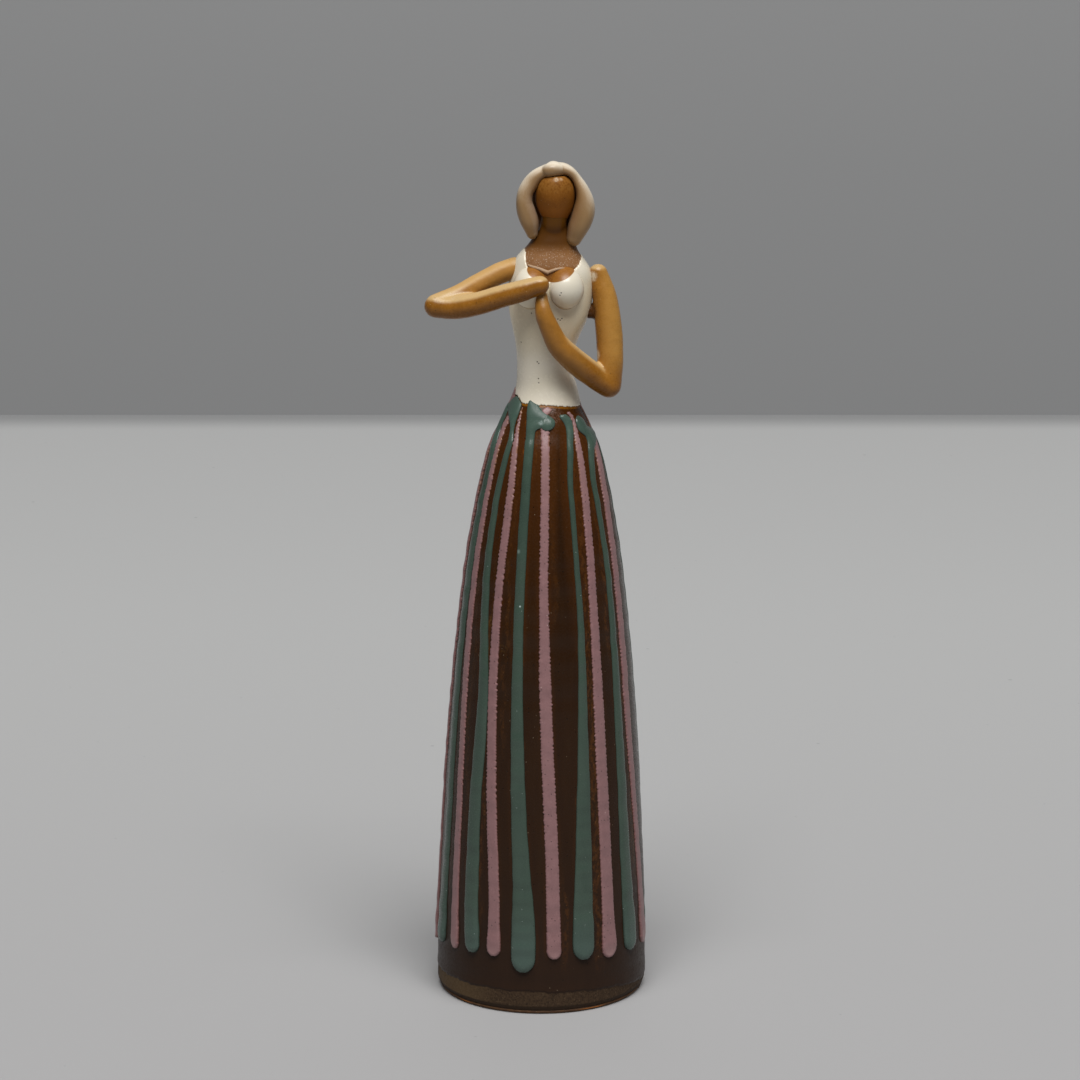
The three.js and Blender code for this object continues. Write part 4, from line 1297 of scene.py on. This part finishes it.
# x, y, height above the waist, half width and half depth of each coil
locks = {
    "frontRoll": [
        (1.1, -1.4, 75.8, 2, 3.6), (2.1, -1.9, 76.1, 2.5, 4.4), (3.3, -1.7, 76.2, 2.4, 4.1),
        (4.3, -1.2, 76, 2.1, 3.6),
    ],
    "rightLock": [
        (0.8, -0.9, 75.6, 2.1, 3.5), (-2.4, -1.1, 74, 2.2, 3.7), (-4.5, -1.2, 71.5, 2.5, 3.9),
        (-6.3, -1.6, 68.3, 2.6, 4.1), (-6.65, -1.9, 65.3, 2.75, 4.2), (-6, -2, 62.2, 3.1, 4.2),
        (-4.8, -1.9, 58.5, 3, 3.9), (-4.1, -1.8, 55.1, 1.9, 2.7),
    ],
    "leftLock": [
        (4.2, -0.8, 76.1, 2, 3.4), (6.2, -0.9, 76, 1.9, 3.5), (8.5, -1, 75, 1.6, 3.4),
        (10.3, -1.1, 72.8, 1.6, 3.3), (12.1, -1.5, 69.5, 2.1, 3.8), (12.95, -1.8, 66, 3, 4.4),
        (12.8, -2, 63, 3.55, 4.7), (12, -2, 60, 3.65, 4.8), (10.7, -1.9, 56.8, 3.4, 4.5),
        (9.5, -1.8, 53.5, 2.6, 3.4),
    ],
    "backHair": [
        (3, 3.2, 73.4, 4.6, 3.6), (3.3, 4.4, 71, 7, 4.6), (3.3, 5.4, 66, 8.5, 5),
        (3.3, 5.2, 60, 7.6, 4.4), (3.3, 4.6, 56.5, 6, 3.2),
    ],
}
faceMiddle = Vector((upperShift + head["middle"][0], head["middle"][1] - 4, waist + 66))
# the roll and the two locks were smeared together while wet, so they share one skin
hairPieces = {
    "hairCoils": (
        ["frontRoll", "rightLock", "leftLock"], ["hair_front_roll", "hair_right_lock", "hair_left_lock"],
    ),
    "backHair": (["backHair"], ["hair_back"]),
}


def hairGlaze():
    # painted paler where it turns up or to the right, painted light from above and the right; browner low
    # down, partly its glaze and partly painted shade; painted shade towards the face, darkest on the back
    # hair's front
    glaze = Glaze("hairGlaze", hairLook["colours"])
    fine = glaze.cloud(1.0, 3.0, rough=0.6)
    low = 1 - glaze.height.step(waist + 54, waist + 76)
    shadeTowardsFace = glaze.field("shadeTowardsFace")
    colour = glaze.layers(
        "ground", (low * 0.5, "low"), (glaze.field("paintedLightUpRight"), "paintedLightUpRight"),
        (glaze.cloud(5, 2.0).step(0.35, 0.7) * 0.15, "soft"),
        (shadeTowardsFace * (0.4 + 0.5 * low), "shadeTowardsFace"), (shadeTowardsFace.step(1.1, 1.9), "backShade"),
        (glaze.specks(2.6, 0.2, 0.1), "specks"),
    )
    glaze.finish(colour, 0.34 + 0.1 * fine, 0.02 * fine, Specular_IOR_Level=0.4)
    return glaze


def hairShape(piece, names):
    # painted shade where the hair turns towards the face, and painted light where it turns up or to the right
    perSpan = 12
    coils = [form(locks[name], sides=64, perSpan=perSpan, square=0.8) for name in names]
    smeared = melted(joined(*coils), voxel=0.32, rounds=16)
    cores = np.concatenate([throughStops([stop[:3] for stop in locks[name]], perSpan) for name in names])
    cores = cores + (upperShift, 0, waist)
    counts = [perSpan * (len(locks[name]) - 1) + 1 for name in names]
    fromRoll = np.repeat([name == "frontRoll" for name in names], counts)
    fields = {"shadeTowardsFace": [], "paintedLightUpRight": []}
    for point in smeared[0]:
        nearest = np.argmin(np.linalg.norm(cores - point, axis=1))
        out = Vector(point - cores[nearest]).normalized()
        if piece == "backHair":
            towards = 2.0 * smooth(0.1, 0.5, -out.y)
        elif fromRoll[nearest]:
            towards = smooth(0.15, 0.9, -0.6 * out.z)
        else:
            towards = smooth(0.15, 0.9, out.dot((faceMiddle - Vector(cores[nearest])).normalized()))
        fields["shadeTowardsFace"].append(float(towards))
        fields["paintedLightUpRight"].append(float(smooth(0.0, 0.68, out.z + 0.4 * max(0, out.x))))
    return smeared, fields


paleHair = hairGlaze()
for piece, (names, stoodFor) in hairPieces.items():
    hair, hairFields = hairShape(piece, names)
    addPiece(piece, hair, paleHair, stoodFor, "hair_glaze", hairLook["lumps"], **hairFields)
print("hair: placed")

# a pale table, painted darker towards the front as painted shade, whose far edge turns grey, and a grey wall
# some way behind it; lengths in metres
studio = {
    "tableEnd": 1.007,
    "wallAt": 2.2,
    "table": {"pale": "#b1b1b0", "front": "#a5a4a4", "edge": "#8c8c8c", "dust": "#77767a"},
    "wall": {"grey": "#adadad"},
    "lamp": {"at": (0.2, -1.9, 4.5), "aim": (0, 0, 0.12), "width": 3.4, "length": 2.6, "watts": 298},
    "room": {"colour": (0.9, 0.95, 1.0, 1), "strength": 0.055},
    # the focal length is in pixels of the photo, and down is in degrees below the horizon
    "camera": {"at": (-0.00036, -1.2299, 0.43547), "down": 12.9, "focal": 3800, "pixels": 1080, "sensor": 36},
}


def tableTop():
    glaze = Glaze("table", studio["table"])
    back = glaze.node("ShaderNodeSeparateXYZ", {}, {0: glaze.place}, 1)
    dust = glaze.specks(11, 0.5, 0.25).most(glaze.specks(23, 1.1, 0.2))
    colour = glaze.layers(
        # painted shade: the table is darker towards the front
        "pale", (1 - back.step(-150, 600), "front"), (dust * 0.4, "dust"), (back.step(957, 1005), "edge"),
    )
    glaze.finish(colour, 0.7, None)
    return glaze


def plainWall():
    glaze = Glaze("wall", studio["wall"])
    glaze.finish(glaze.layers("grey"), 0.7, None)
    return glaze


tableEnd, wallAt = studio["tableEnd"], studio["wallAt"]
sheets = {
    "table": (tableTop(), [(-3, -3, 0), (3, -3, 0), (3, tableEnd, 0), (-3, tableEnd, 0)]),
    "wall": (plainWall(), [(-4, wallAt, -3), (4, wallAt, -3), (4, wallAt, 3), (-4, wallAt, 3)]),
}
for sheetName, (sheetGlaze, corners) in sheets.items():
    mesh = bpy.data.meshes.new(sheetName)
    mesh.from_pydata(corners, [], [(0, 1, 2, 3)])
    mesh.materials.append(sheetGlaze.material)
    sheet = bpy.data.objects.new(sheetName, mesh)
    bpy.context.scene.collection.objects.link(sheet)

lamp = bpy.data.lights.new("softbox", "AREA")
lamp.shape = "RECTANGLE"
lamp.size, lamp.size_y = studio["lamp"]["width"], studio["lamp"]["length"]
lamp.energy = studio["lamp"]["watts"]
lampObject = bpy.data.objects.new("softbox", lamp)
lampObject.location = studio["lamp"]["at"]
aim = Vector(studio["lamp"]["at"]) - Vector(studio["lamp"]["aim"])
lampObject.rotation_euler = aim.to_track_quat("Z", "Y").to_euler()
bpy.context.scene.collection.objects.link(lampObject)

world = bpy.data.worlds.new("room")
world.use_nodes = True
background = world.node_tree.nodes["Background"]
background.inputs["Color"].default_value = studio["room"]["colour"]
background.inputs["Strength"].default_value = studio["room"]["strength"]
bpy.context.scene.world = world

camera = bpy.data.cameras.new("camera")
camera.sensor_width = studio["camera"]["sensor"]
camera.lens = studio["camera"]["sensor"] * studio["camera"]["focal"] / studio["camera"]["pixels"]
cameraObject = bpy.data.objects.new("camera", camera)
cameraObject.location = studio["camera"]["at"]
cameraObject.rotation_euler = (math.radians(90 - studio["camera"]["down"]), 0, 0)
bpy.context.scene.collection.objects.link(cameraObject)
bpy.context.scene.camera = cameraObject
bpy.context.scene.view_settings.view_transform = "Standard"
print("studio: placed")
